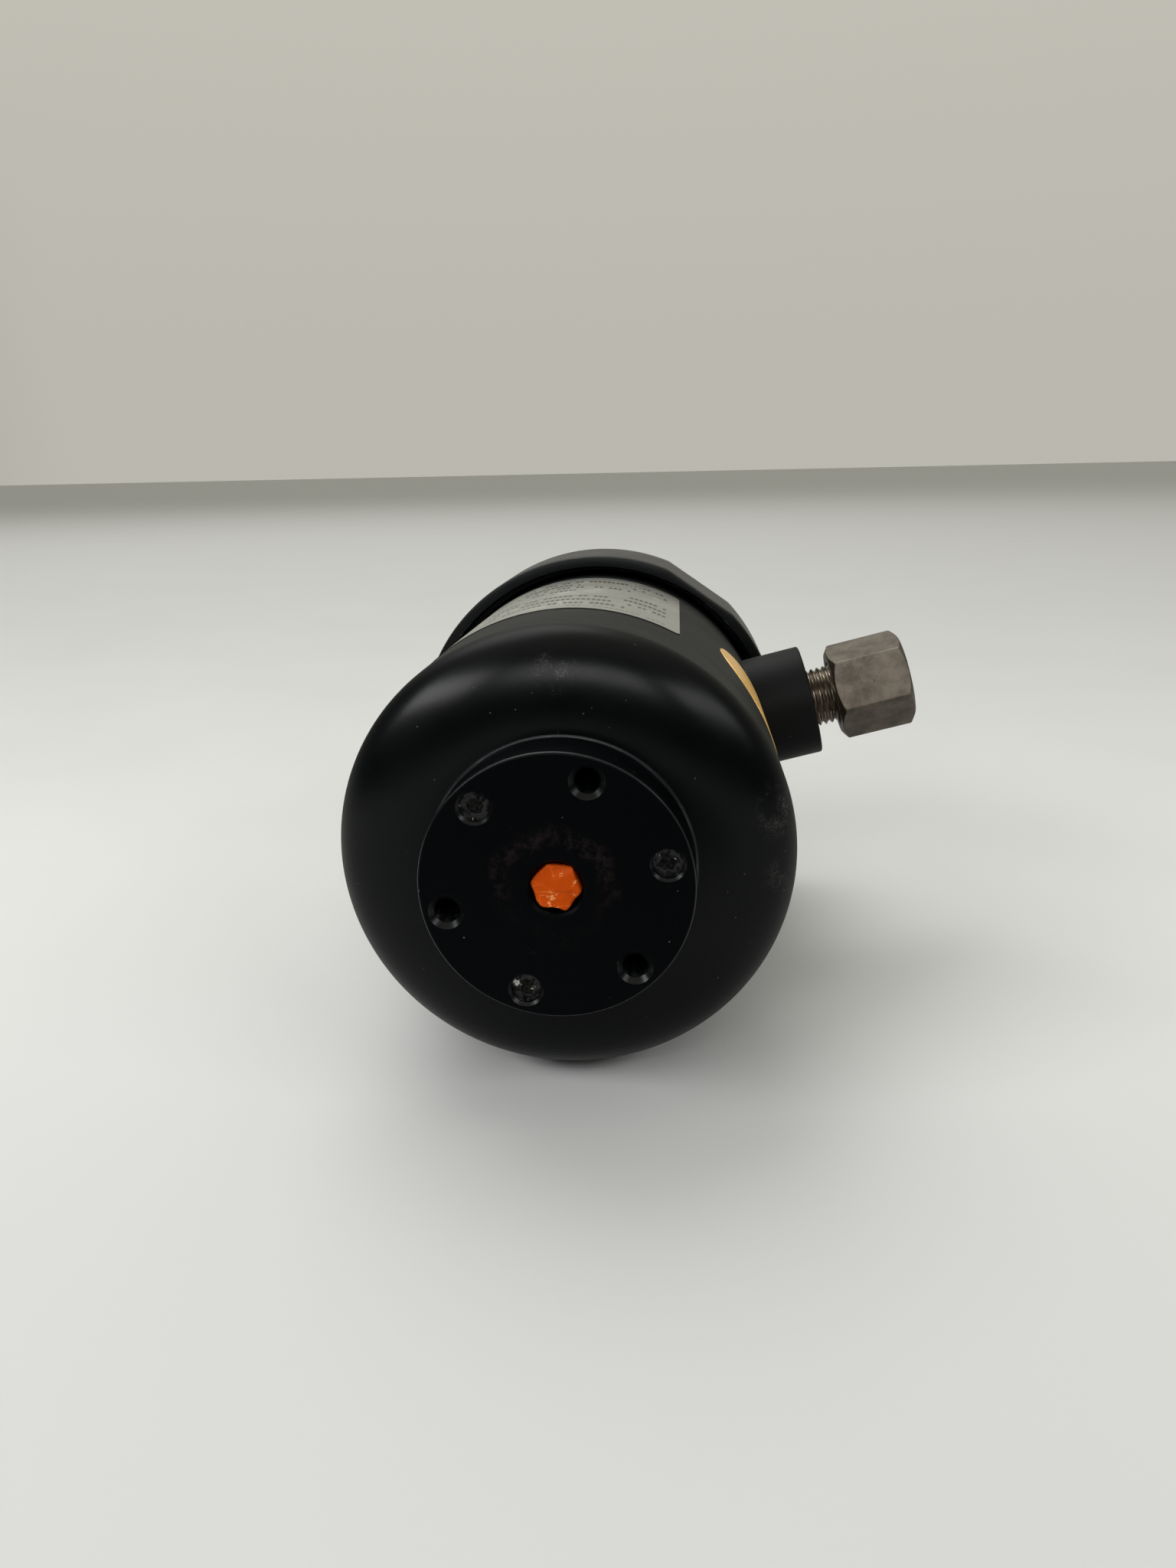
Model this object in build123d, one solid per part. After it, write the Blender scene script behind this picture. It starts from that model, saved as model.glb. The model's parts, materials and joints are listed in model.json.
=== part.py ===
from build123d import *
import math
import os

# Compressed air filter lying on its side.
# +Y runs along the housing from the pad face (y = 0) to the closure, +Z is up. All sizes in mm.

# housing shell
BODY_R = 40.0
BORE_R = 33.0
BODY_LEN = 124.0
PAD_R = 22.5
PAD_H = 10.0
PAD_EDGE = 0.7
DOME_DEPTH = 8.6
FLOOR_Y = 18.0
FLOOR_RISE = 12.0

# pad holes and central port
HOLE_PITCH_R = 18.45
HOLE_COUNT = 3
OPEN_HOLE_ANGLE = 73.1
FILLED_HOLE_ANGLE = 13.1
TAP_R = 2.1
TAP_DEPTH = 11.0
TAP_CHAMFER = 0.85
SCREW_R = 2.5
SCREW_SINK = 0.3
SCREW_SOCKET_AF = 2.5
SCREW_SOCKET_DEPTH = 2.2
PORT_MOUTH_R = 4.9
PORT_MOUTH_DEPTH = 0.5
PORT_R = 4.45
PORT_DEPTH = 11.0
PASSAGE_R = 3.0

# closure thread on the housing
THREAD_RELIEF = 0.4
THREAD_LEN = 12.0
THREAD_PITCH = 2.0
THREAD_DEPTH = 0.9

# collar
COLLAR_LEN = 28.0
COLLAR_SKIRT_GAP = 1.8
COLLAR_SKIRT_T = 2.7
COLLAR_SKIRT_LEN = 7.0
COLLAR_LIP_T = 4.4
COLLAR_LIP_R = 31.0
COLLAR_EDGE = 0.5
COLLAR_FLATS = 2
COLLAR_FLAT_ANGLE = 55.0
COLLAR_FLAT_DEPTH = 1.0

# end cover
FLANGE_T = 4.0
FLANGE_GAP = 0.9
SPIGOT_LEN = 14.5
HUB_LEN = 9.0
HUB_GAP = 0.8
HUB_EDGE = 1.2
NOSE_R = 12.0
NOSE_LEN = 3.0
COVER_SOCKET_R = 8.0
COVER_SOCKET_DEPTH = 4.0
O_RING_R = 1.3
O_RING_ROOM = 0.4
WASHER_T = 1.0
WASHER_INSET = 0.5

# outlet seat and element
SEAT_R = 14.0
SEAT_T = 3.0
SEAT_LEN = 10.0
SEAT_LAND = 4.5
SEAT_RING_R = 0.9
SEAT_RING_ROOM = 0.3
SEAT_RING_PLACE = 0.62
ELEMENT_GAP = 6.5
CAP_GAP = 0.5
CAP_T = 4.5
CAP_SLEEVE_LEN = 7.0
CAP_SLEEVE_T = 3.0
CAP_HOLE_R = 8.0
CAP_RIM = 3.0
CAP_DISH = 1.5
SLEEVE_INSET = 0.5
SLEEVE_T = 0.8
SLEEVE_HOLE_R = 2.2
SLEEVE_ROWS = 7
SLEEVE_HOLES = 14
CORE_R = 13.5
CORE_T = 1.0
CORE_HOLE_R = 2.0
CORE_ROWS = 6
CORE_HOLES = 8
PLEATS = 28
PLEAT_T = 0.8
GASKET_T = 2.0

# tie rod
ROD_R = 3.0
ROD_IN_COVER = 15.0
ROD_PROUD = 1.5
ROD_EDGE = 0.4
NUT_T = 5.0
NUT_AF = 10.0
CLAMP_T = 1.5
CLAMP_GAP = 0.6
CLAMP_HOLES = 4
CLAMP_HOLE_R = 2.3
CLAMP_HOLE_PITCH_R = 6.4

# side boss and tube fitting; distances run outwards from the housing axis
BOSS_ANGLE = 14.1
BOSS_R = 12.4
BOSS_TO_COLLAR = 1.6
BOSS_RISE = 11.3
BOSS_RING_R = 0.8
INLET_R = 4.5
STUD_R = 6.58
STUD_PITCH = 1.337
STUD_DEPTH = 0.75
STUD_BORE_R = 3.4
STUD_IN_BOSS = 12.8
STUD_IN_NUT = 9.2
STUD_MOUTH = 0.9
STUD_MOUTH_DEPTH = 4.0
TUBE_NUT_AF = 19.0
TUBE_NUT_STANDOFF = 5.5
TUBE_NUT_LEN = 16.4
TUBE_NUT_TURN = 13.0
TUBE_NUT_LAND = 2.9
TUBE_NUT_CONE = 2.3
TUBE_NUT_SHOULDER = 1.35
TUBE_NUT_CLEAR = 0.2
TUBE_NUT_MOUTH = 0.7
TUBE_R = 4.1
FERRULE_T = 1.88
FERRULE_TAPER = 1.2
FERRULE_BAND = 1.0

# port plug
PLUG_AF = 7.1
PLUG_TOP = 0.35
PLUG_HEAD = 4.2
PLUG_DRAFT = 0.3
PLUG_LEN = 9.4
PLUG_RIBS = 4
PLUG_RIB_DEPTH = 0.8

# labels
LABEL_T = 0.15
RATING_START = 39.0
RATING_LEN = 59.0
RATING_FROM = 60.5
RATING_TO = 141.0
ROUND_R = 16.5
ROUND_Y = 63.0
ROUND_ANGLE = 21.0

# clearances; OVERCUT lets a cutting shape pass a face
FIT = 0.05
RUNNING = 0.1
MOVING = 0.3
OVERCUT = 1.0

# derived sizes of the housing and the closure
FLOOR_FLAT_R = SEAT_R + SEAT_LAND
DOME_Y = PAD_H + DOME_DEPTH
THREAD_R = BODY_R - THREAD_RELIEF
THREAD_Y = BODY_LEN - THREAD_LEN
FLANGE_R = THREAD_R + MOVING - FLANGE_GAP
FLANGE_END = BODY_LEN + FLANGE_T
HUB_R = COLLAR_LIP_R - HUB_GAP
HUB_END = FLANGE_END + HUB_LEN
WASHER_Y = FLANGE_END + MOVING
WASHER_END = WASHER_Y + WASHER_T
LIP_Y = WASHER_END + MOVING
COLLAR_R = BODY_R + COLLAR_SKIRT_GAP + COLLAR_SKIRT_T
COLLAR_END = LIP_Y + COLLAR_LIP_T
COLLAR_Y = COLLAR_END - COLLAR_LEN

# derived sizes of the element
SEAT_END = FLOOR_Y + SEAT_LEN
SEAT_BORE_R = SEAT_R - SEAT_T
SEAT_RING_Y = FLOOR_Y + SEAT_RING_PLACE * SEAT_LEN
CAP_R = BORE_R - ELEMENT_GAP
CAP_Y = SEAT_END + CAP_GAP
SLEEVE_R = CAP_R - SLEEVE_INSET
MEDIA_Y = CAP_Y + CAP_T
SPIGOT_Y = BODY_LEN - SPIGOT_LEN
NOSE_Y = SPIGOT_Y - NOSE_LEN
REAR_CAP_END = NOSE_Y - GASKET_T
MEDIA_END = REAR_CAP_END - CAP_T
ELEMENT_LEN = MEDIA_END - MEDIA_Y
COVER_RING_Y = (SPIGOT_Y + BODY_LEN) / 2
ROD_END = NOSE_Y + ROD_IN_COVER
CLAMP_R = SEAT_BORE_R - CLAMP_GAP
CLAMP_Y = CAP_Y - CLAMP_T
NUT_Y = CLAMP_Y - NUT_T

# derived sizes of the boss and the fitting
BOSS_Y = COLLAR_Y - BOSS_TO_COLLAR - BOSS_R
BOSS_END = BODY_R + BOSS_RISE
STUD_START = BOSS_END - STUD_IN_BOSS
TUBE_NUT_START = BOSS_END + TUBE_NUT_STANDOFF
TUBE_NUT_END = TUBE_NUT_START + TUBE_NUT_LEN
STUD_END = TUBE_NUT_START + STUD_IN_NUT

AXIS = Plane((0, 0, 0), x_dir=(1, 0, 0), z_dir=(0, 1, 0))
BOSS_DIR = (math.cos(math.radians(BOSS_ANGLE)), 0, math.sin(math.radians(BOSS_ANGLE)))
BOSS_PLANE = Plane((0, BOSS_Y, 0), x_dir=(0, 1, 0), z_dir=BOSS_DIR)


def on_axis(y):
    return AXIS.offset(y)


def rod(radius, start, end):
    """Solid cylinder on the housing axis."""
    return on_axis(start) * extrude(Circle(radius), end - start)


def tube(outer, inner, start, end):
    return rod(outer, start, end) - rod(inner, start, end)


def boss_rod(radius, start, end):
    """Solid cylinder on the boss axis."""
    return BOSS_PLANE.offset(start) * extrude(Circle(radius), end - start)


def at_angle(angle, radius):
    """Point (x, z) at an angle from +X towards +Z, seen from the pad."""
    a = math.radians(angle)
    return radius * math.cos(a), radius * math.sin(a)


def around(count, first):
    return [first + 360 / count * i for i in range(count)]


def turned(points):
    """Revolve a closed (radius, y) outline about the housing axis."""
    face = make_face(Polyline([(r, y, 0) for r, y in points], close=True))
    return revolve(face, Axis.Y, 360)


def turned_on_boss(points):
    """Revolve a closed (radius, distance) outline about the boss axis."""
    face = make_face(Polyline([(r, 0, d) for r, d in points], close=True))
    return BOSS_PLANE * revolve(face, Axis.Z, 360)


def grooved(radius, depth, pitch, start, end):
    """Outline points of a screw thread drawn as ring grooves."""
    points = [(radius - depth, start)]
    y = start
    while y + pitch <= end:
        points += [(radius - depth * 0.1, y + pitch * 0.42), (radius - depth * 0.1, y + pitch * 0.58)]
        points += [(radius - depth, y + pitch)]
        y += pitch
    return points


def o_ring(major, minor, y):
    return on_axis(y) * Torus(major, minor)


def hexagon(flats):
    return RegularPolygon(flats / math.sqrt(3), 6)


def shell_outline():
    """Outer outline of the housing, from the pad face to the thread."""
    start = (PAD_R, PAD_H)
    lines = Polyline([(0, 0), (PAD_R - PAD_EDGE, 0), (PAD_R, PAD_EDGE), start])
    dome = EllipticalCenterArc((PAD_R, DOME_Y), BODY_R - PAD_R, DOME_DEPTH, -90, arc_size=90)
    root = THREAD_R - THREAD_DEPTH
    thread = grooved(THREAD_R, THREAD_DEPTH, THREAD_PITCH, THREAD_Y + 1, BODY_LEN - 1)
    rear = Polyline([(BODY_R, DOME_Y), (BODY_R, THREAD_Y), (root, THREAD_Y)] + thread
                    + [(root, BODY_LEN), (0, BODY_LEN), (0, 0)])
    return make_face([lines, dome, rear])


def cavity():
    """Bore with a bowl-shaped floor."""
    wall_y = FLOOR_Y + FLOOR_RISE
    bowl = EllipticalCenterArc((FLOOR_FLAT_R, wall_y), BORE_R - FLOOR_FLAT_R, FLOOR_RISE, -90, arc_size=90)
    mouth_y = BODY_LEN + OVERCUT
    rest = Polyline([(BORE_R, wall_y), (BORE_R, mouth_y), (0, mouth_y), (0, FLOOR_Y), (FLOOR_FLAT_R, FLOOR_Y)])
    return revolve(make_face([bowl, rest]), Axis.Y, 360)


def pad_hole(angle, radius):
    """Blind hole with a chamfered mouth: at the thread's core, or its full size round a screw."""
    x, z = at_angle(angle, HOLE_PITCH_R)
    mouth_r = TAP_R + TAP_CHAMFER
    mouth = turned([(0, 0), (mouth_r, 0), (radius, mouth_r - radius), (0, mouth_r - radius)])
    return Pos(x, 0, z) * (rod(radius, 0, TAP_DEPTH) + mouth)


def housing():
    shape = revolve(shell_outline(), Axis.Y, 360)
    shape += boss_rod(BOSS_R, 0, BOSS_END)
    shape -= cavity()
    for first, radius in ((OPEN_HOLE_ANGLE, TAP_R), (FILLED_HOLE_ANGLE, SCREW_R)):
        for angle in around(HOLE_COUNT, first):
            shape -= pad_hole(angle, radius)
    shape -= rod(PORT_MOUTH_R, 0, PORT_MOUTH_DEPTH)
    shape -= rod(PORT_R, 0, PORT_DEPTH)
    shape -= rod(PASSAGE_R, 0, FLOOR_Y + OVERCUT)
    shape -= boss_rod(INLET_R, 0, BOSS_END)
    shape -= boss_rod(STUD_R + FIT, STUD_START, BOSS_END)
    shape -= boss_rod(STUD_R + FIT + 2 * BOSS_RING_R, BOSS_END - 2 * BOSS_RING_R, BOSS_END)
    return shape


def blanking_screws():
    """Three set screws that close every other pad hole."""
    screws = []
    for angle in around(HOLE_COUNT, FILLED_HOLE_ANGLE):
        x, z = at_angle(angle, HOLE_PITCH_R)
        top = TAP_CHAMFER + SCREW_SINK
        body = rod(SCREW_R - FIT, top, TAP_DEPTH)
        socket = on_axis(top) * extrude(hexagon(SCREW_SOCKET_AF), SCREW_SOCKET_DEPTH)
        screws.append(Pos(x, 0, z) * (body - socket))
    return Compound(children=[s.solid() for s in screws])


def port_plug():
    """Hexagon-headed plug with push-in ribs."""
    head_end = PLUG_TOP + PLUG_HEAD
    head = on_axis(PLUG_TOP) * extrude(hexagon(PLUG_AF), PLUG_HEAD)
    stem_end = PLUG_TOP + PLUG_LEN
    crest = PORT_R - RUNNING
    root = crest - PLUG_RIB_DEPTH
    face_r = PLUG_AF / 2 - PLUG_DRAFT
    head &= turned([(0, PLUG_TOP), (face_r, PLUG_TOP), (crest, head_end), (0, head_end)])
    step = (stem_end - head_end) / PLUG_RIBS
    points = [(0, head_end), (root, head_end)]
    for i in range(PLUG_RIBS):
        y = head_end + i * step
        points += [(crest, y + 0.1 * step), (crest, y + 0.4 * step), (root, y + 0.95 * step)]
    points += [(0, y + 0.95 * step)]
    return head + turned(points)


def outlet_seat():
    """Tube standing on the housing floor that the element plugs onto."""
    half = SEAT_RING_R + SEAT_RING_ROOM
    depth = 2 * SEAT_RING_R - FIT
    groove = tube(SEAT_R + OVERCUT, SEAT_R - depth, SEAT_RING_Y - half, SEAT_RING_Y + half)
    body = tube(SEAT_R, SEAT_BORE_R, FLOOR_Y, SEAT_END)
    return body - groove


def seat_o_ring():
    return o_ring(SEAT_R - SEAT_RING_R + FIT, SEAT_RING_R, SEAT_RING_Y)


def front_cap():
    """Element end cap with the sleeve that slides over the outlet seat."""
    inner = SEAT_R + RUNNING
    disc = tube(CAP_R, CAP_HOLE_R, CAP_Y, MEDIA_Y)
    sleeve = tube(inner + CAP_SLEEVE_T, inner, CAP_Y - CAP_SLEEVE_LEN, CAP_Y)
    return disc + sleeve


def rear_cap():
    disc = tube(CAP_R, ROD_R + FIT, MEDIA_END, REAR_CAP_END)
    return disc - tube(CAP_R - CAP_RIM, NOSE_R + CAP_RIM, REAR_CAP_END - CAP_DISH, REAR_CAP_END)


def radial_holes(radius, hole_r, rows, count):
    """Rings of radial holes between the two end caps."""
    pitch = ELEMENT_LEN / rows
    holes = []
    for row in range(rows):
        y = MEDIA_Y + pitch * (row + 0.5)
        for angle in around(count, 180 / count * (row % 2)):
            hole = Rot(0, 90 - angle, 0) * extrude(Circle(hole_r), radius + OVERCUT)
            holes.append(Pos(0, y, 0) * hole)
    return holes


def outer_sleeve():
    wall = tube(SLEEVE_R, SLEEVE_R - SLEEVE_T, MEDIA_Y, MEDIA_END)
    return wall - radial_holes(SLEEVE_R, SLEEVE_HOLE_R, SLEEVE_ROWS, SLEEVE_HOLES)


def core_tube():
    wall = tube(CORE_R, CORE_R - CORE_T, MEDIA_Y, MEDIA_END)
    return wall - radial_holes(CORE_R, CORE_HOLE_R, CORE_ROWS, CORE_HOLES)


def pleated_media():
    """Pleated filter sheet, folded into a closed star."""
    outer = SLEEVE_R - SLEEVE_T - RUNNING
    inner = CORE_R + RUNNING
    step = 360 / PLEATS

    def star(out_r, in_r):
        points = []
        for i in range(PLEATS):
            points += [at_angle(i * step, out_r), at_angle((i + 0.5) * step, in_r)]
        return make_face(Polyline(points, close=True))

    # the folds are so sharp that the sheet is several times thicker along a radius than across
    along_fold = 3.4 * PLEAT_T
    sheet = star(outer, inner + PLEAT_T) - star(outer - along_fold, inner)
    return on_axis(MEDIA_Y) * extrude(sheet, ELEMENT_LEN)


def rear_gasket():
    return tube(NOSE_R, ROD_R + FIT, REAR_CAP_END, NOSE_Y)


def tie_rod():
    shank = rod(ROD_R, NUT_Y - ROD_PROUD, ROD_END)
    return chamfer(shank.edges().filter_by(GeomType.CIRCLE), ROD_EDGE)


def clamp_washer():
    """Spoked washer that clamps the element and lets the air past."""
    disc = tube(CLAMP_R, ROD_R + FIT, CLAMP_Y, CAP_Y)
    for angle in around(CLAMP_HOLES, 180 / CLAMP_HOLES):
        x, z = at_angle(angle, CLAMP_HOLE_PITCH_R)
        disc -= Pos(x, 0, z) * rod(CLAMP_HOLE_R, CLAMP_Y, CAP_Y)
    return disc


def retaining_nut():
    body = on_axis(NUT_Y) * extrude(hexagon(NUT_AF), NUT_T)
    body &= turned(chamfered_outline(NUT_AF / 2, NUT_AF / math.sqrt(3), NUT_Y, CLAMP_Y))
    return body - rod(ROD_R + FIT, NUT_Y, CLAMP_Y)


def chamfered_outline(face_r, corner_r, start, end):
    """Outline that trims the corners of a hexagon at both ends, at about 30 degrees."""
    rise = (corner_r - face_r) * 0.6
    clear = corner_r + OVERCUT
    reach = rise * (clear - face_r) / (corner_r - face_r)
    return [(0, start), (face_r, start), (clear, start + reach), (clear, end - reach), (face_r, end), (0, end)]


def end_cover():
    """Flanged cover with a spigot in the bore and a hub through the collar."""
    spigot_r = BORE_R - RUNNING
    shape = rod(spigot_r, SPIGOT_Y, BODY_LEN) + rod(NOSE_R, NOSE_Y, SPIGOT_Y)
    shape += rod(FLANGE_R, BODY_LEN, FLANGE_END)
    hub = rod(HUB_R, FLANGE_END, HUB_END)
    rear_edge = hub.edges().filter_by(GeomType.CIRCLE).sort_by(Axis.Y)[-1]
    shape += chamfer(rear_edge, HUB_EDGE)
    half = O_RING_R + O_RING_ROOM
    depth = 2 * O_RING_R + 2 * FIT
    shape -= tube(BORE_R + OVERCUT, BORE_R - depth, COVER_RING_Y - half, COVER_RING_Y + half)
    shape -= rod(ROD_R + FIT, NOSE_Y, ROD_END)
    return shape - rod(COVER_SOCKET_R, HUB_END - COVER_SOCKET_DEPTH, HUB_END)


def cover_o_ring():
    return o_ring(BORE_R - O_RING_R - FIT, O_RING_R, COVER_RING_Y)


def slip_washer():
    return tube(FLANGE_R, COLLAR_LIP_R + WASHER_INSET, WASHER_Y, WASHER_END)


def collar():
    """Ring nut with a skirt over the housing and two spanner flats."""
    shape = rod(COLLAR_R, COLLAR_Y, COLLAR_END)
    rims = shape.edges().filter_by(GeomType.CIRCLE)
    shape = chamfer(rims, COLLAR_EDGE)
    shape -= rod(BODY_R + COLLAR_SKIRT_GAP, COLLAR_Y, COLLAR_Y + COLLAR_SKIRT_LEN)
    shape -= rod(THREAD_R + MOVING, COLLAR_Y, LIP_Y)
    shape -= rod(COLLAR_LIP_R, COLLAR_Y, COLLAR_END)
    block_t = 5 * COLLAR_FLAT_DEPTH
    block = Box(block_t, COLLAR_LEN + 2 * OVERCUT, COLLAR_R)
    for angle in around(COLLAR_FLATS, COLLAR_FLAT_ANGLE):
        x, z = at_angle(angle, COLLAR_R - COLLAR_FLAT_DEPTH + block_t / 2)
        shape -= Pos(x, COLLAR_Y + COLLAR_LEN / 2, z) * Rot(0, -angle, 0) * block
    return shape


def inlet_stud():
    """Threaded nipple between the boss and the tube nut."""
    root = STUD_R - STUD_DEPTH
    thread = grooved(STUD_R, STUD_DEPTH, STUD_PITCH, STUD_START + 1, STUD_END - 1)
    points = [(STUD_BORE_R, STUD_START), (root, STUD_START)] + thread
    points += [(root, STUD_END), (TUBE_R + STUD_MOUTH, STUD_END), (STUD_BORE_R, STUD_END - STUD_MOUTH_DEPTH)]
    return turned_on_boss(points)


def boss_o_ring():
    """Seal in the mouth of the boss, around the nipple."""
    major = STUD_R + FIT / 2 + BOSS_RING_R
    return BOSS_PLANE.offset(BOSS_END - BOSS_RING_R) * Torus(major, BOSS_RING_R - FIT / 2)


def ferrule():
    """Cone ring that grips the tube, between the nipple and the nut."""
    start = STUD_END + MOVING
    end = TUBE_NUT_END - TUBE_NUT_LAND - 0.5
    inner = TUBE_R + FIT
    tip = TUBE_R + STUD_MOUTH
    band = TUBE_R + FERRULE_T
    band_y = start + FERRULE_TAPER
    return turned_on_boss([(inner, start), (tip, start), (band, band_y), (band, band_y + FERRULE_BAND),
                           (tip, end), (inner, end)])


def tube_nut():
    corner = TUBE_NUT_AF / math.sqrt(3)
    blank = extrude(hexagon(TUBE_NUT_AF), TUBE_NUT_LEN)
    blank = BOSS_PLANE.offset(TUBE_NUT_START) * Rot(0, 0, TUBE_NUT_TURN) * blank
    face_r = TUBE_NUT_AF / 2 - TUBE_NUT_CLEAR
    trim = turned_on_boss(chamfered_outline(face_r, corner, TUBE_NUT_START, TUBE_NUT_END))
    clear = STUD_R + TUBE_NUT_CLEAR
    mouth_y = TUBE_NUT_START + TUBE_NUT_MOUTH
    land_y = TUBE_NUT_END - TUBE_NUT_LAND
    hollow = turned_on_boss([(0, TUBE_NUT_START), (clear + TUBE_NUT_MOUTH, TUBE_NUT_START), (clear, mouth_y),
                             (clear, land_y - TUBE_NUT_CONE), (TUBE_R + TUBE_NUT_SHOULDER, land_y),
                             (TUBE_R, land_y), (TUBE_R, TUBE_NUT_END), (0, TUBE_NUT_END)])
    return (blank & trim) - hollow


def wrapped_patch(start, end, low, high):
    """Thin rectangle of label wrapped on the housing."""
    ring = tube(BODY_R + LABEL_T, BODY_R, start, end)
    reach = 2 * BODY_R
    edge = [(0, 0)] + [at_angle(a, reach) for a in (low, (low + high) / 2, high)]
    wedge = on_axis(start) * extrude(make_face(Polyline([(x, z) for x, z in edge], close=True)), end - start)
    return ring & wedge


def rating_label():
    # AXIS looks along +Y with X to the right, so its own Y points down and angles are mirrored
    return wrapped_patch(RATING_START, RATING_START + RATING_LEN, -RATING_TO, -RATING_FROM)


def round_label():
    """Thin disc of label wrapped on the side of the housing."""
    ring = tube(BODY_R + LABEL_T, BODY_R, ROUND_Y - ROUND_R, ROUND_Y + ROUND_R)
    a = math.radians(ROUND_ANGLE)
    out = Plane((0, ROUND_Y, 0), x_dir=(0, 1, 0), z_dir=(math.cos(a), 0, math.sin(a)))
    return ring & (out * extrude(Circle(ROUND_R), 2 * BODY_R))


PARTS = {
    "housing": housing,
    "blanking_screws": blanking_screws,
    "port_plug": port_plug,
    "rating_label": rating_label,
    "round_label": round_label,
    "outlet_seat": outlet_seat,
    "seat_o_ring": seat_o_ring,
    "front_cap": front_cap,
    "rear_cap": rear_cap,
    "outer_sleeve": outer_sleeve,
    "pleated_media": pleated_media,
    "core_tube": core_tube,
    "rear_gasket": rear_gasket,
    "tie_rod": tie_rod,
    "clamp_washer": clamp_washer,
    "retaining_nut": retaining_nut,
    "end_cover": end_cover,
    "cover_o_ring": cover_o_ring,
    "slip_washer": slip_washer,
    "collar": collar,
    "inlet_stud": inlet_stud,
    "boss_o_ring": boss_o_ring,
    "ferrule": ferrule,
    "tube_nut": tube_nut,
}


def main():
    os.makedirs("parts", exist_ok=True)
    for name, make in PARTS.items():
        export_step(make(), f"parts/{name}.step")


main()
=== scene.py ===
import json
import math

import bmesh
import bpy
from bpy.props import FloatProperty, FloatVectorProperty, IntProperty, PointerProperty
from mathutils import Euler, Matrix, Vector, noise


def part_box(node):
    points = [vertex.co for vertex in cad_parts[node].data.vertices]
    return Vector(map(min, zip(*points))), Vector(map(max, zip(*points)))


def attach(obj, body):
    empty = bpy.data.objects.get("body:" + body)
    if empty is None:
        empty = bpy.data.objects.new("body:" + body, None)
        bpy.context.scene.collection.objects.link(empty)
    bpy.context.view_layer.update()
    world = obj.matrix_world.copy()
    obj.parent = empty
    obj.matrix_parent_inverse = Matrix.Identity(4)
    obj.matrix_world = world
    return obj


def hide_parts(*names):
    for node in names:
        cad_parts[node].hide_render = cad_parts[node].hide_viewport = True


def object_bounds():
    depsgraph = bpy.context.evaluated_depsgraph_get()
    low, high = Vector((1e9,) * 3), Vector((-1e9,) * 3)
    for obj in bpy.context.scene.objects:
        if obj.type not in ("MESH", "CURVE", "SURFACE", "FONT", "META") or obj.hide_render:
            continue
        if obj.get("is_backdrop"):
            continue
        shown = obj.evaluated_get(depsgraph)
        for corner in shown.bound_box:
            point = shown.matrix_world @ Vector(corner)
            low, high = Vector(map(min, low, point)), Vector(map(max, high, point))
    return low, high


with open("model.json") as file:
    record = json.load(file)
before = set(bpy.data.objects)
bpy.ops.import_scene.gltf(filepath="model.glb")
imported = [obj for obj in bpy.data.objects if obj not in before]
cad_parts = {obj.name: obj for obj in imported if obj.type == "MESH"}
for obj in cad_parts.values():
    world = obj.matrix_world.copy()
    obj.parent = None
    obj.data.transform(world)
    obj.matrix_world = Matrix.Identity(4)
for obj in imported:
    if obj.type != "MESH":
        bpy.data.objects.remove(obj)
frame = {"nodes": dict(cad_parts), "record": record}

bl_info = {
    "name": "Compressed air filter",
    "version": (1, 0, 0),
    "blender": (4, 5, 0),
    "location": "View3D > Sidebar > Air filter",
    "description": "Detail pieces, finishes and a studio for the compressed air filter",
    "category": "Object",
}

MM = 0.001
TAU = 2 * math.pi
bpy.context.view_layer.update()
RECORD = frame["record"]
MOUNTS = {mount["name"]: mount for mount in RECORD["mounts"]}
JOINTS = {joint["name"]: joint for joint in RECORD["behaviour"]["joints"]}
BOSS_OUT = Vector(JOINTS["tube_nut_travel"]["axis"]).normalized()


def corners(node):
    """Lowest and highest corner of a CAD node, as vectors."""
    low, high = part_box(node)
    return Vector(low), Vector(high)


HOUSING_LOW, HOUSING_HIGH = corners("housing")
COLLAR_LOW, COLLAR_HIGH = corners("collar")
COVER_LOW, COVER_HIGH = corners("end_cover")


def length_property(name, description, default, high=0.5):
    return FloatProperty(name=name, description=description, default=default, min=0.0, max=high,
                         precision=5, subtype="DISTANCE", unit="LENGTH")


def angle_property(name, description, degrees):
    return FloatProperty(name=name, description=description, default=math.radians(degrees),
                         subtype="ANGLE", unit="ROTATION")


def colour_property(name, description, default):
    return FloatVectorProperty(name=name, description=description, default=default, size=3,
                               min=0.0, max=1.0, subtype="COLOR")


def factor_property(name, description, default):
    return FloatProperty(name=name, description=description, default=default, min=0.0, max=1.0,
                         subtype="FACTOR")


# ---------------------------------------------------------------- settings

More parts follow.
